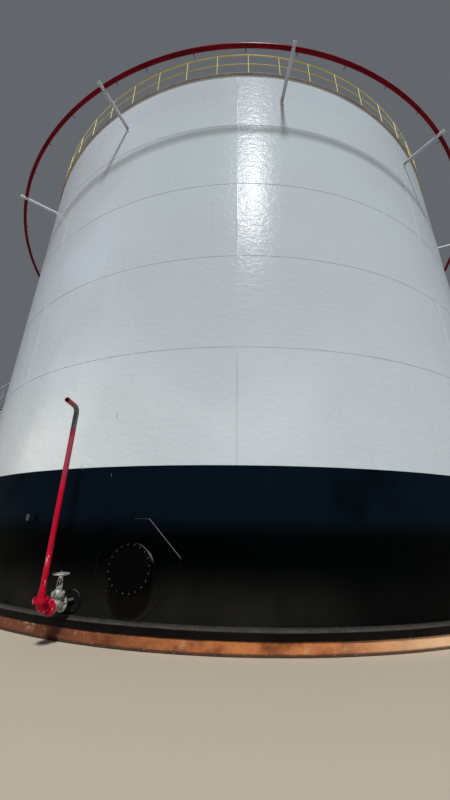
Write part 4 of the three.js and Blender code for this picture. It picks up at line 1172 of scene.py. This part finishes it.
def ring_clamp():
    """A U-bolt over the pipe, with its nuts under the arm, in the arm's frame."""
    out = -(RING_R - SHELL_R)
    reach = RING_PIPE_R + CLAMP_ROD_R
    arch = [(0, out - reach, -ARM_PLATE - CLAMP_END), (0, out - reach, RING_PIPE_R)]
    for angle in np.linspace(0, math.pi, 13):
        arch.append((0, out - reach * math.cos(angle), RING_PIPE_R + reach * math.sin(angle)))
    arch += [(0, out + reach, RING_PIPE_R), (0, out + reach, -ARM_PLATE - CLAMP_END)]
    rod = tube(arch, CLAMP_ROD_R, 8, first_side=ACROSS)
    nut = placed(nut_and_stud(*CLAMP_NUT), UPSIDE_DOWN)
    nuts = [placed(nut, Matrix.Translation((0, out + side * reach, -ARM_PLATE))) for side in (-1, 1)]
    return joined([rod, *nuts])


def build_arms(look, zinc, white):
    clamps = []
    for n in range(ARMS):
        place = upright(ARM_FIRST_AZ + n * 360 / ARMS, SHELL_R, ARM_TOP)
        channel, foot = channel_arm()
        make(f"arm_channel_{n + 1}", placed(channel, place), look, [f"ring_arm_{n + 1}"], bevel=0.0018)
        make(f"arm_foot_{n + 1}", placed(foot, place), white, bevel=0.0025)
        clamps.append(placed(ring_clamp(), place))
    make("ring_clamps", joined(clamps), zinc)


# Manhole and outlet

def pad_outline(half, flat):
    return [
        (flat, -half), (half, -flat), (half, flat), (flat, half),
        (-flat, half), (-half, flat), (-half, -flat), (-flat, -half),
    ]


def along_outline(outline, step):
    points = []
    for here, there in zip(outline, outline[1:] + outline[:1]):
        here, there = np.array(here), np.array(there)
        count = max(2, int(np.linalg.norm(there - here) / step))
        points += [here + (there - here) * t for t in np.arange(count) / count]
    return points


def on_shell(azimuth, z, across, up, radius):
    """The point of the round shell that lies that far across and up from a place on it."""
    return polar(radius, azimuth + math.degrees(math.asin(across / SHELL_R)), z + up)


def curved_pad(azimuth, z, outline, hole_r):
    """A plate that follows the shell, with a round hole in its middle."""
    low, high = SHELL_R - PAD_SUNK, SHELL_R + PAD_PLATE
    sections = []
    for radius, share in ((low, 0), (high, 0), (high, 1), (low, 1)):
        section = []
        for x, y in outline:
            scale = 1 - share * (1 - hole_r / math.hypot(x, y))
            section.append(on_shell(azimuth, z, x * scale, y * scale, radius))
        sections.append(section)
    return loft(sections, loop=True)


def weld_loop(azimuth, z, outline, radius, bead):
    points = [on_shell(azimuth, z, x, y, radius) for x, y in outline]
    return tube(points, bead, 8, loop=True, first_side=polar(1, azimuth, 0))


def build_pad(names, place, outline, neck, neck_bead, black, weld):
    """A pad, with the weld round its rim and the one round its neck of [radius, sides]."""
    pad_name, weld_name, node = names
    make(pad_name, curved_pad(*place, outline, neck[0] - NECK_WALL), black, [node])
    rim = weld_loop(*place, outline, SHELL_R + PAD_PLATE * 0.35, PAD_BEAD)
    root = weld_loop(*place, round_outline(*neck), SHELL_R + PAD_PLATE, neck_bead)
    make(weld_name, joined([rim, root]), weld)


def build_manhole(black, rim, weld, bolt):
    outline = along_outline(pad_outline(PAD_HALF, PAD_FLAT), PAD_STEP)
    build_pad(("manhole_pad", "manhole_welds", "manway_pad"), (MANHOLE_AZ, MANHOLE_Z), outline,
              (MANHOLE_NECK_R, 72), PAD_BEAD, black, weld)
    place = outward(MANHOLE_AZ, SHELL_R, MANHOLE_Z)
    face = MANHOLE_REACH - MANHOLE_FLANGE
    back = face - MANHOLE_FLANGE
    inside = MANHOLE_NECK_R - NECK_WALL
    neck = [
        (inside, NECK_START), (MANHOLE_NECK_R, NECK_START), (MANHOLE_NECK_R, back),
        (MANHOLE_FLANGE_R, back), (MANHOLE_FLANGE_R, face - 0.001), (inside, face - 0.001),
    ]
    neck = placed(spun(neck, 96, loop=True), place)
    make("manhole_neck", neck, rim, ["manway_neck"], bevel=0.003, segments=4)
    cover = [
        (CORE_R, face + FACE_GAP), (MANHOLE_FLANGE_R, face + FACE_GAP),
        (MANHOLE_FLANGE_R, MANHOLE_REACH), (CORE_R, MANHOLE_REACH),
    ]
    make("manhole_cover", placed(spun(cover, 96), place), rim, ["manway_cover"], bevel=0.004, segments=4)
    bolts = []
    for proud, turn, where in ((0.010, MANHOLE_BOLT_TURN, lifted(MANHOLE_REACH)),
                               (0.006, -MANHOLE_BOLT_TURN, lifted(back) @ UPSIDE_DOWN)):
        nut = nut_and_stud(*MANHOLE_NUT, proud)
        bolts.append(placed(circle_of(nut, MANHOLE_BOLTS, MANHOLE_BOLT_R, turn), where))
    make("manhole_bolts", placed(joined(bolts), place), bolt)


def build_outlet(black, rim, weld):
    names = ("outlet_plate", "outlet_welds", "outlet_pad")
    outline = round_outline(NOZZLE_PAD_R, 64)
    build_pad(names, (VALVE_AZ, VALVE_Z), outline, (PIPE_R, 40), OUTLET_BEAD, black, weld)
    back = NOZZLE_LENGTH - FLANGE
    inside = PIPE_R - 0.006
    profile = [
        (inside, NECK_START), (PIPE_R, NECK_START), (PIPE_R, back - 0.012), (PIPE_R + 0.006, back),
        (FLANGE_R, back), (FLANGE_R, NOZZLE_LENGTH), (inside, NOZZLE_LENGTH),
    ]
    make("outlet_neck", placed(spun(profile, 64, loop=True), outward(VALVE_AZ, SHELL_R, VALVE_Z)), rim,
         ["outlet_nozzle"], bevel=0.0025, segments=4)


# Valve

def flange_nuts(face, away, axis):
    """A ring of nuts on a flange, on its outer side or, with away below zero, its inner one."""
    nuts = circle_of(nut_and_stud(*FLANGE_NUT), FLANGE_BOLTS, FLANGE_BOLT_R, 180 / FLANGE_BOLTS)
    turn = Matrix.Identity(4) if away > 0 else UPSIDE_DOWN
    return placed(nuts, axis @ lifted(face) @ turn)


def valve_frame():
    return upright(VALVE_AZ, SHELL_R + VALVE_MIDDLE, VALVE_Z)


def valve_barrel(start, end):
    """The body between its flanges, whose inner faces lie at start and end."""
    return spun([
        (CORE_R, VALVE_START), (FLANGE_R, VALVE_START), (FLANGE_R, start), (0.070, start),
        (0.064, start + 0.009), (0.066, start + 0.018), (0.084, VALVE_MIDDLE - 0.054),
        (0.088, VALVE_MIDDLE - 0.040), (0.088, VALVE_MIDDLE + 0.040), (0.084, VALVE_MIDDLE + 0.054),
        (0.066, end - 0.018), (0.064, end - 0.009), (0.070, end), (FLANGE_R, end),
        (FLANGE_R, VALVE_END), (CORE_R, VALVE_END),
    ], 56, 0.004)


def valve_neck(under):
    """The upright part of the body, with the flange that carries the bonnet."""
    top = VALVE_NECK_TOP - FACE_GAP
    return spun([
        (0.080, 0.0), (0.078, 0.08), (0.076, under - 0.012), (0.082, under),
        (BONNET_FLANGE_R, under), (BONNET_FLANGE_R, top), (0.02, top),
    ], 48, 0.004)


def build_valve(iron, steel, red, black):
    axis = outward(VALVE_AZ, SHELL_R, VALVE_Z)
    start, end = VALVE_START + FLANGE, VALVE_END - FLANGE
    under = VALVE_NECK_TOP - BONNET_FLANGE
    casting = [placed(valve_barrel(start, end), axis), placed(valve_neck(under), valve_frame())]
    make("valve_casting", joined(casting), iron, ["valve_body"])
    build_bonnet(iron)
    build_stem(steel)
    build_wheel(iron)
    bolts = circle_of(nut_and_stud(*BONNET_NUT), 8, BONNET_BOLT_R, 22.5)
    above = placed(bolts, valve_frame() @ lifted(VALVE_NECK_TOP + BONNET_FLANGE))
    below = placed(bolts, valve_frame() @ lifted(under) @ UPSIDE_DOWN)
    nuts = [above, below, flange_nuts(start, 1, axis), flange_nuts(end, -1, axis)]
    make("valve_bolts", joined(nuts), iron)
    make("outlet_bolts", flange_nuts(NOZZLE_LENGTH - FLANGE, -1, axis), black)
    make("elbow_inlet_bolts", flange_nuts(ELBOW_START + FLANGE, 1, axis), red)


def build_bonnet(iron):
    foot = VALVE_NECK_TOP + GAP
    top = foot + BONNET_FLANGE
    dome = [
        (0.02, foot), (BONNET_FLANGE_R, foot), (BONNET_FLANGE_R, top), (0.078, top), (0.076, top + 0.014),
        (0.062, top + 0.034), (0.044, top + 0.047), (0.034, top + 0.055), (0.034, top + 0.069),
        (0.044, top + 0.069), (0.044, top + 0.084), (0.026, top + 0.084), (0.026, top + 0.100),
        (BORE_R, top + 0.100),
    ]
    low = YOKE_TOP - YOKE_HUB
    hub = [(BORE_R, low), (YOKE_HUB_R, low), (YOKE_HUB_R, YOKE_TOP), (BORE_R, YOKE_TOP)]
    parts = [spun(dome, 48, 0.0025), spun(hub, 36, 0.004)]
    for side in (-1, 1):
        way = [(side * x, 0, z) for x, z in (
            (0.052, top - 0.004), (0.054, top + 0.045), (0.051, top + 0.10), (0.045, YOKE_TOP - 0.078),
            (0.034, YOKE_TOP - 0.036), (0.022, YOKE_TOP - 0.018))]
        parts.append(tube(way, [0.013, 0.011, 0.0105, 0.0105, 0.012, 0.012], 12, first_side=(0, 1, 0)))
        bolt = [(side * 0.036, -0.001, top + 0.050), (side * 0.036, -0.001, top + 0.112)]
        parts.append(tube(bolt, 0.0055, 10, first_side=(0, 1, 0)))
    make("bonnet_casting", placed(joined(parts), valve_frame()), iron, ["valve_bonnet"])


def build_stem(steel):
    z = STEM_FOOT + STEM_SHANK
    profile = [(0.009, STEM_FOOT + 0.001), (0.0125, STEM_FOOT + 0.004), (0.0125, z)]
    while z < STEM_HEAD - 0.012:
        profile += [(0.0128, z + 0.0015), (0.0104, z + 0.0035), (0.0128, z + 0.0055)]
        z += THREAD_PITCH
    profile += [(0.0118, STEM_HEAD - 0.004), (0.0085, STEM_HEAD - 0.0005)]
    make("stem_screw", placed(spun(profile, 20), valve_frame()), steel, ["valve_stem"], body=STEM, sharp=60)


def build_wheel(iron):
    top = WHEEL_FOOT + WHEEL_HUB
    rim_z = top - WHEEL_RIM_R
    rim = tube([(x, y, rim_z) for x, y in round_outline(WHEEL_R, 64)], WHEEL_RIM_R, 16, loop=True)
    hub = [(BORE_R, WHEEL_FOOT), (WHEEL_HUB_R, WHEEL_FOOT), (WHEEL_HUB_R, top), (BORE_R, top)]
    parts = [rim, spun(hub, 36, 0.004, loop=True)]
    way = [(0.022, 0, rim_z), (0.060, 0, rim_z - 0.003), (0.095, 0, rim_z - 0.002), (0.122, 0, rim_z)]
    spoke = tube(way, [0.012, 0.0095, 0.0090, 0.0105], 12)
    parts += [placed(spoke, turn_z(n * 90)) for n in range(4)]
    make("hand_wheel", placed(joined(parts), valve_frame()), iron, ["valve_handwheel"], body=WHEEL)


# Elbow, riser and bend

def build_elbow(red, axis, riser_at):
    step = 0.012
    wide, slim = ELBOW_PIPE_R + 0.008, ELBOW_PIPE_R - 0.01
    back, face = ELBOW_START + FLANGE, ELBOW_RISE - FLANGE
    inlet = [
        (CORE_R, ELBOW_START), (FLANGE_R, ELBOW_START), (FLANGE_R, back),
        (wide, back), (slim, back + step), (CORE_R, back + step),
    ]
    outlet = [
        (CORE_R, face - step), (slim, face - step), (wide, face),
        (FLANGE_R, face), (FLANGE_R, ELBOW_RISE - FACE_GAP), (CORE_R, ELBOW_RISE - FACE_GAP),
    ]
    start, end = (0, RISER_OUT - ELBOW_START - 0.004, 0), (0, 0, ELBOW_RISE - 0.01)
    way = bend_points(start, (0, 0, 0), end, ELBOW_BEND)
    make("elbow_casting", joined([
        placed(spun(inlet, 56, 0.003), axis), placed(spun(outlet, 56, 0.003), riser_at),
        placed(tube(way, ELBOW_PIPE_R, 40, first_side=ACROSS), riser_at),
    ]), red, ["riser_elbow"])


def build_riser(red, grey):
    axis = outward(VALVE_AZ, SHELL_R, VALVE_Z)
    riser_at = upright(VALVE_AZ, SHELL_R + RISER_OUT, VALVE_Z)
    build_elbow(red, axis, riser_at)
    foot = ELBOW_RISE + GAP
    top = foot + FLANGE
    reducer = top + REDUCER
    head = RISER_TOP - VALVE_Z
    profile = [(CORE_R, foot), (FLANGE_R - 0.002, foot), (FLANGE_R, foot + 0.002), (FLANGE_R, top - 0.003),
               (FLANGE_R - 0.003, top), (PIPE_R + 0.005, top), (PIPE_R, top + 0.006)]
    for t in np.linspace(0.0, 1.0, 9):
        share = t * t * (3 - 2 * t)
        profile.append((PIPE_R + (RISER_R - PIPE_R) * share, top + REDUCER * (0.30 + 0.66 * t)))
    profile += [(RISER_R, reducer), (RISER_R + 0.003, reducer + 0.006), (RISER_R, reducer + 0.012)]
    profile += [(RISER_R, z) for z in np.linspace(reducer + 0.05, head - 0.02, 12)]
    profile += [(RISER_R + 0.003, head - 0.012), (RISER_R, head - 0.003), (CORE_R, head)]
    make("riser_pipe", placed(spun(profile, 40), riser_at), red, ["riser"])
    nuts = [flange_nuts(ELBOW_RISE - FLANGE, -1, riser_at), flange_nuts(top, 1, riser_at)]
    make("elbow_bolts", joined(nuts), red)
    build_run(red, grey, riser_at, head)


def build_run(red, grey, riser_at, head):
    angle = math.radians(RUN_TURN)
    way = np.array([math.sin(angle), -math.cos(angle), 0.0])
    level = RUN_Z - VALVE_Z
    corner = np.array([0, 0, level])
    near = RUN_BEND + BEND_TANGENT
    points = bend_points((0, 0, head + GAP), corner, corner + way * near, RUN_BEND, 18)
    make("grey_bend", placed(tube(points, RISER_R, 32, first_side=ACROSS), riser_at), grey, ["riser_bend"])
    start, *rest = np.linspace(near + GAP, near + STUB, 8)
    inside, floor = 0.005, near + 0.05
    profile = [(inside, start), (RISER_R - 0.003, start), (RISER_R, start + 0.004)]
    profile += [(RISER_R, d) for d in rest]
    profile += [(RISER_R - 0.006, rest[-1]), (RISER_R - 0.006, floor), (inside, floor)]
    turn = lifted(level) @ turn_z(RUN_TURN) @ LAID_OUT
    make("run_pipe", placed(spun(profile, 40), riser_at @ turn), red, ["run_stub"])


# Stair

def stair_azimuth(step):
    return STAIR_START_AZ - step * pitch


def stringer(first, last, inner):
    sections = []
    steps = int((last - first) * 2)
    for n in range(steps + 1):
        step = first + (last - first) * n / steps
        low = max(0.0, step * rise - STRINGER_BELOW)
        high = step * rise + STRINGER_ABOVE
        outer = inner + STRINGER_PLATE
        sections.append([polar(radius, stair_azimuth(step), z)
                         for radius, z in ((inner, low), (outer, low), (outer, high), (inner, high))])
    return loft(sections)


def radial_bar(azimuth, low_r, high_r, width, bottom, top):
    """A radial bar at an azimuth, that wide along the stair."""
    place = upright(azimuth, (low_r + high_r) / 2, bottom)
    return placed(block(width, high_r - low_r, top - bottom), place)


def grating_tread(number):
    top = (number + 1) * rise
    low_r, high_r = STRINGER_IN_R + STRINGER_PLATE, STRINGER_OUT_R - STRINGER_PLATE
    parts = []
    for n in range(TREAD_BARS):
        azimuth = stair_azimuth(number + TREAD_LAP * (n + 0.5) / TREAD_BARS)
        width = TREAD_NOSING if n == 0 else TREAD_BAR
        parts.append(radial_bar(azimuth, low_r, high_r, width, top - TREAD_DEPTH, top))
    for n in range(CROSS_BARS):
        radius = low_r + (high_r - low_r) * (n + 0.5) / CROSS_BARS
        start = stair_azimuth(number + CROSS_BAR_END)
        end = stair_azimuth(number + TREAD_LAP - CROSS_BAR_END)
        z = top - CROSS_BAR_BELOW
        parts.append(tube(arc_points(radius, start, end, z, z, 2), CROSS_BAR_R, 6))
    return parts


def gusset(points, azimuth):
    """An upright plate that stands out of the shell, from [distance outwards, height] pairs."""
    shape = placed(prism(points, BRACKET_PLATE), lifted(-BRACKET_PLATE / 2))
    return placed(shape, upright(azimuth, SHELL_R, 0) @ (turn_z(-90) @ LAID_OUT))


def stair_bracket(azimuth):
    step = (STAIR_START_AZ - azimuth) / pitch
    top = step * rise + STRINGER_ABOVE / 2
    reach = STRINGER_IN_R - SHELL_R
    points = [(0, top - BRACKET_DEPTH), (reach, top - BRACKET_DEPTH / 2), (reach, top), (0, top)]
    return gusset(points, azimuth)


def build_flight(index, look):
    first = index * FLIGHT_STEPS
    last = min(first + FLIGHT_STEPS, RISERS - 1)
    parts = [stringer(first, last - STRINGER_END, inner)
             for inner in (STRINGER_IN_R, STRINGER_OUT_R - STRINGER_PLATE)]
    for number in range(first, last):
        parts += grating_tread(number)
    for n in range(BRACKETS):
        azimuth = BRACKET_FIRST_AZ - n * BRACKET_EVERY_DEG
        if stair_azimuth(last) + pitch < azimuth < stair_azimuth(first) - pitch:
            parts.append(stair_bracket(azimuth))
    make(f"stair_steps_{index + 1}", joined(parts), look, [f"stair_flight_{index + 1}"])


def build_stair_rail(index, look):
    first = index * FLIGHT_STEPS + 0.5
    last = min((index + 1) * FLIGHT_STEPS, RISERS - 1) + (0 if index == flights - 1 else 0.3)
    parts = []
    step = first + 0.5
    while step < last:
        level = (step + 1) * rise
        parts.append(post(STAIR_RAIL_R, stair_azimuth(step), level - STAIR_POST_BELOW, level + STAIR_RAIL,
                          STAIR_TUBE_R))
        step += STAIR_POST_EVERY
    for height in (STAIR_RAIL, STAIR_MID_RAIL):
        z_first, z_last = (first + 1) * rise + height, (last + 1) * rise + height
        points = arc_points(STAIR_RAIL_R, stair_azimuth(first), stair_azimuth(last), z_first, z_last, 60)
        parts.append(tube(points, STAIR_TUBE_R, 12))
    make(f"stair_handrail_{index + 1}", joined(parts), look, [f"stair_rail_{index + 1}"])


def build_landing(look):
    azimuths = list(np.linspace(landing_to, landing_from, 15))
    top, low = TOP_LEVEL, TOP_LEVEL - LANDING_DEPTH
    bar_in, bar_out = LANDING_IN_R + LANDING_PLATE, STRINGER_OUT_R - LANDING_PLATE
    parts = []
    for inner, outer in ((LANDING_IN_R, bar_in), (bar_out, STRINGER_OUT_R)):
        section = [(inner, low), (outer, low), (outer, top), (inner, top)]
        parts.append(turned_wall(section, azimuths, loop=False))
    for azimuth in (landing_to + 0.03, landing_from - 0.03):
        parts.append(radial_bar(azimuth, bar_in, bar_out, LANDING_PLATE, low, top))
    for n in range(1, LANDING_BARS):
        azimuth = landing_to + (landing_from - landing_to) * n / LANDING_BARS
        parts.append(radial_bar(azimuth, bar_in, bar_out, LANDING_BAR, top - LANDING_BAR_LOW,
                                top - LANDING_BAR_HIGH))
    for n in range(1, LANDING_CROSS_BARS):
        radius = LANDING_IN_R + (STRINGER_OUT_R - LANDING_IN_R) * n / LANDING_CROSS_BARS
        z = top - CROSS_BAR_BELOW
        way = arc_points(radius, landing_to + 0.05, landing_from - 0.05, z, z, 8)
        parts.append(tube(way, CROSS_BAR_R, 6))
    under = top - LANDING_DEPTH + 0.002
    reach = STRINGER_OUT_R - SHELL_R - 0.040
    knee = [(0, under - LANDING_KNEE), (reach, under - 0.080), (reach, under), (0, under)]
    parts += [gusset(knee, azimuth) for azimuth in (ENTRY_AZ, ENTRY_AZ - 3)]
    make("landing_deck", joined(parts), look, ["stair_landing"])


def build_landing_rail(look):
    start, end, middle = landing_from - 0.4, landing_to + 0.25, landing_to + 3.55
    parts = []
    for radius, azimuth in ((LANDING_POST_R, start), (LANDING_POST_R, middle), (LANDING_POST_R, end),
                            (LANDING_GATE_R, end)):
        parts.append(post(radius, azimuth, TOP_LEVEL + GAP, TOP_LEVEL + RAIL_HEIGHT, STAIR_TUBE_R))
    for height in (RAIL_HEIGHT, MID_RAIL_HEIGHT):
        z = TOP_LEVEL + height
        along = arc_points(LANDING_POST_R, start, end, z, z, 12)
        across = [polar(LANDING_POST_R + (LANDING_GATE_R - LANDING_POST_R) * t, end, z) for t in (0, 0.5, 1)]
        parts += [tube(way, STAIR_TUBE_R, 12) for way in (along, across)]
    make("landing_handrail", joined(parts), look, ["landing_rail"])


# Floor, light and camera

def build_floor():
    half = FLOOR_SIZE / 2
    mesh = bpy.data.meshes.new("floor")
    corners = [(-half, -half, 0), (half, -half, 0), (half, half, 0), (-half, half, 0)]
    mesh.from_pydata(corners, [], [(0, 1, 2, 3)])
    floor = bpy.data.objects.new("floor", mesh)
    bpy.context.scene.collection.objects.link(floor)
    material = bpy.data.materials.new("floor")
    material.use_nodes = True
    shader = material.node_tree.nodes["Principled BSDF"]
    shader.inputs["Base Color"].default_value = (*FLOOR_COLOUR, 1.0)
    shader.inputs["Roughness"].default_value = FLOOR_ROUGHNESS
    mesh.materials.append(material)


def build_light():
    sun = bpy.data.lights.new("sun", "SUN")
    sun.energy = LAMP_STRENGTH
    sun.angle = math.radians(LAMP_ANGLE)
    sun.color = LAMP_COLOUR
    lamp = bpy.data.objects.new("sun", sun)
    elevation = math.radians(LAMP_ELEVATION)
    towards = Vector(polar(math.cos(elevation), LAMP_AZ, math.sin(elevation)))
    lamp.rotation_mode = "QUATERNION"
    lamp.rotation_quaternion = towards.to_track_quat("Z", "Y")
    lamp.location = towards * LAMP_AWAY
    bpy.context.scene.collection.objects.link(lamp)
    world = bpy.data.worlds.new("studio")
    world.use_nodes = True
    background = world.node_tree.nodes["Background"]
    background.inputs["Color"].default_value = (*STUDIO_COLOUR, 1.0)
    background.inputs["Strength"].default_value = STUDIO_STRENGTH
    bpy.context.scene.world = world
    view = bpy.context.scene.view_settings
    view.view_transform = VIEW_TRANSFORM
    view.gamma = VIEW_GAMMA
    view.exposure = VIEW_EXPOSURE


def build_camera():
    pitch_up, roll, yaw = (math.radians(v) for v in (CAMERA_PITCH, CAMERA_ROLL, CAMERA_YAW))
    flat = math.cos(pitch_up)
    forward = Vector((math.sin(yaw) * flat, math.cos(yaw) * flat, math.sin(pitch_up)))
    level = Vector((math.cos(yaw), -math.sin(yaw), 0))
    up = level.cross(forward)
    right = level * math.cos(roll) + up * math.sin(roll)
    up = up * math.cos(roll) - level * math.sin(roll)
    camera = bpy.data.cameras.new("camera")
    camera.sensor_width = SENSOR
    camera.lens = FOCAL_PIXELS * SENSOR / PHOTO_HEIGHT
    camera.clip_end = CAMERA_FAR
    holder = bpy.data.objects.new("camera", camera)
    rows = [(right[i], up[i], -forward[i], CAMERA_PLACE[i]) for i in range(3)]
    holder.matrix_world = Matrix((*rows, (0, 0, 0, 1)))
    bpy.context.scene.collection.objects.link(holder)
    bpy.context.scene.camera = holder


def build():
    white, black = white_paint(), black_paint()
    # Blacks with painted highlights: glints on the rims, welds and bolts, and a lit face on the cleat's tag.
    rim_black = bright_edged("black_rims", RIM_BRIGHT_WAY, (0.19, 0.19, 0.19), 0.80, 0.99, 0.0)
    weld_black = bright_edged("manway_welds", PAD_BRIGHT_WAY, (0.28, 0.29, 0.30), 0.90, 0.985, 0.95, 1.25,
                              DUST_AND_REFLECTION_BLACK)
    outlet_weld_black = bright_edged("outlet_welds", BRIGHT_WAY, (0.34, 0.34, 0.34), 0.86, 0.97, 0.50, 1.25)
    bolt_black = bright_edged("black_bolts", BRIGHT_WAY, (0.28, 0.28, 0.28), 0.90, 0.97, ior=1.35)
    tag_black = bright_edged("cleat_tag", BRIGHT_WAY, (0.13, 0.13, 0.13), 0.30, 0.60)
    ring_red, riser_red, yellow = ring_red_paint(), riser_red_paint(), yellow_paint()
    zinc_steel, dull_zinc, bolts = galvanised(), galvanised("dull_zinc", 0.35), bolt_zinc()
    build_ring_wall(stained_concrete())
    build_kerb(kerb_coating())
    build_bottom(black, chime_paint())
    build_shell(white, seam_paint(), black)
    build_shell_fittings(black, tag_black, white)
    build_top_angle(angle_paint())
    build_roof(white)
    build_roof_seams(white)
    build_vent(white, bolts)
    for index in range(RAIL_PANELS):
        build_roof_rail(index, yellow)
    build_ring(ring_red, dull_zinc)
    build_arms(arm_steel(), bolts, white)
    build_manhole(black, rim_black, weld_black, bolt_black)
    build_outlet(black, rim_black, outlet_weld_black)
    build_valve(valve_iron(), stem_steel(), riser_red, bolt_black)
    build_riser(riser_red, dull_zinc)
    for index in range(flights):
        build_flight(index, zinc_steel)
        build_stair_rail(index, zinc_steel)
    build_landing(zinc_steel)
    build_landing_rail(zinc_steel)


build()
build_floor()
build_light()
build_camera()

bpy.context.view_layer.update()
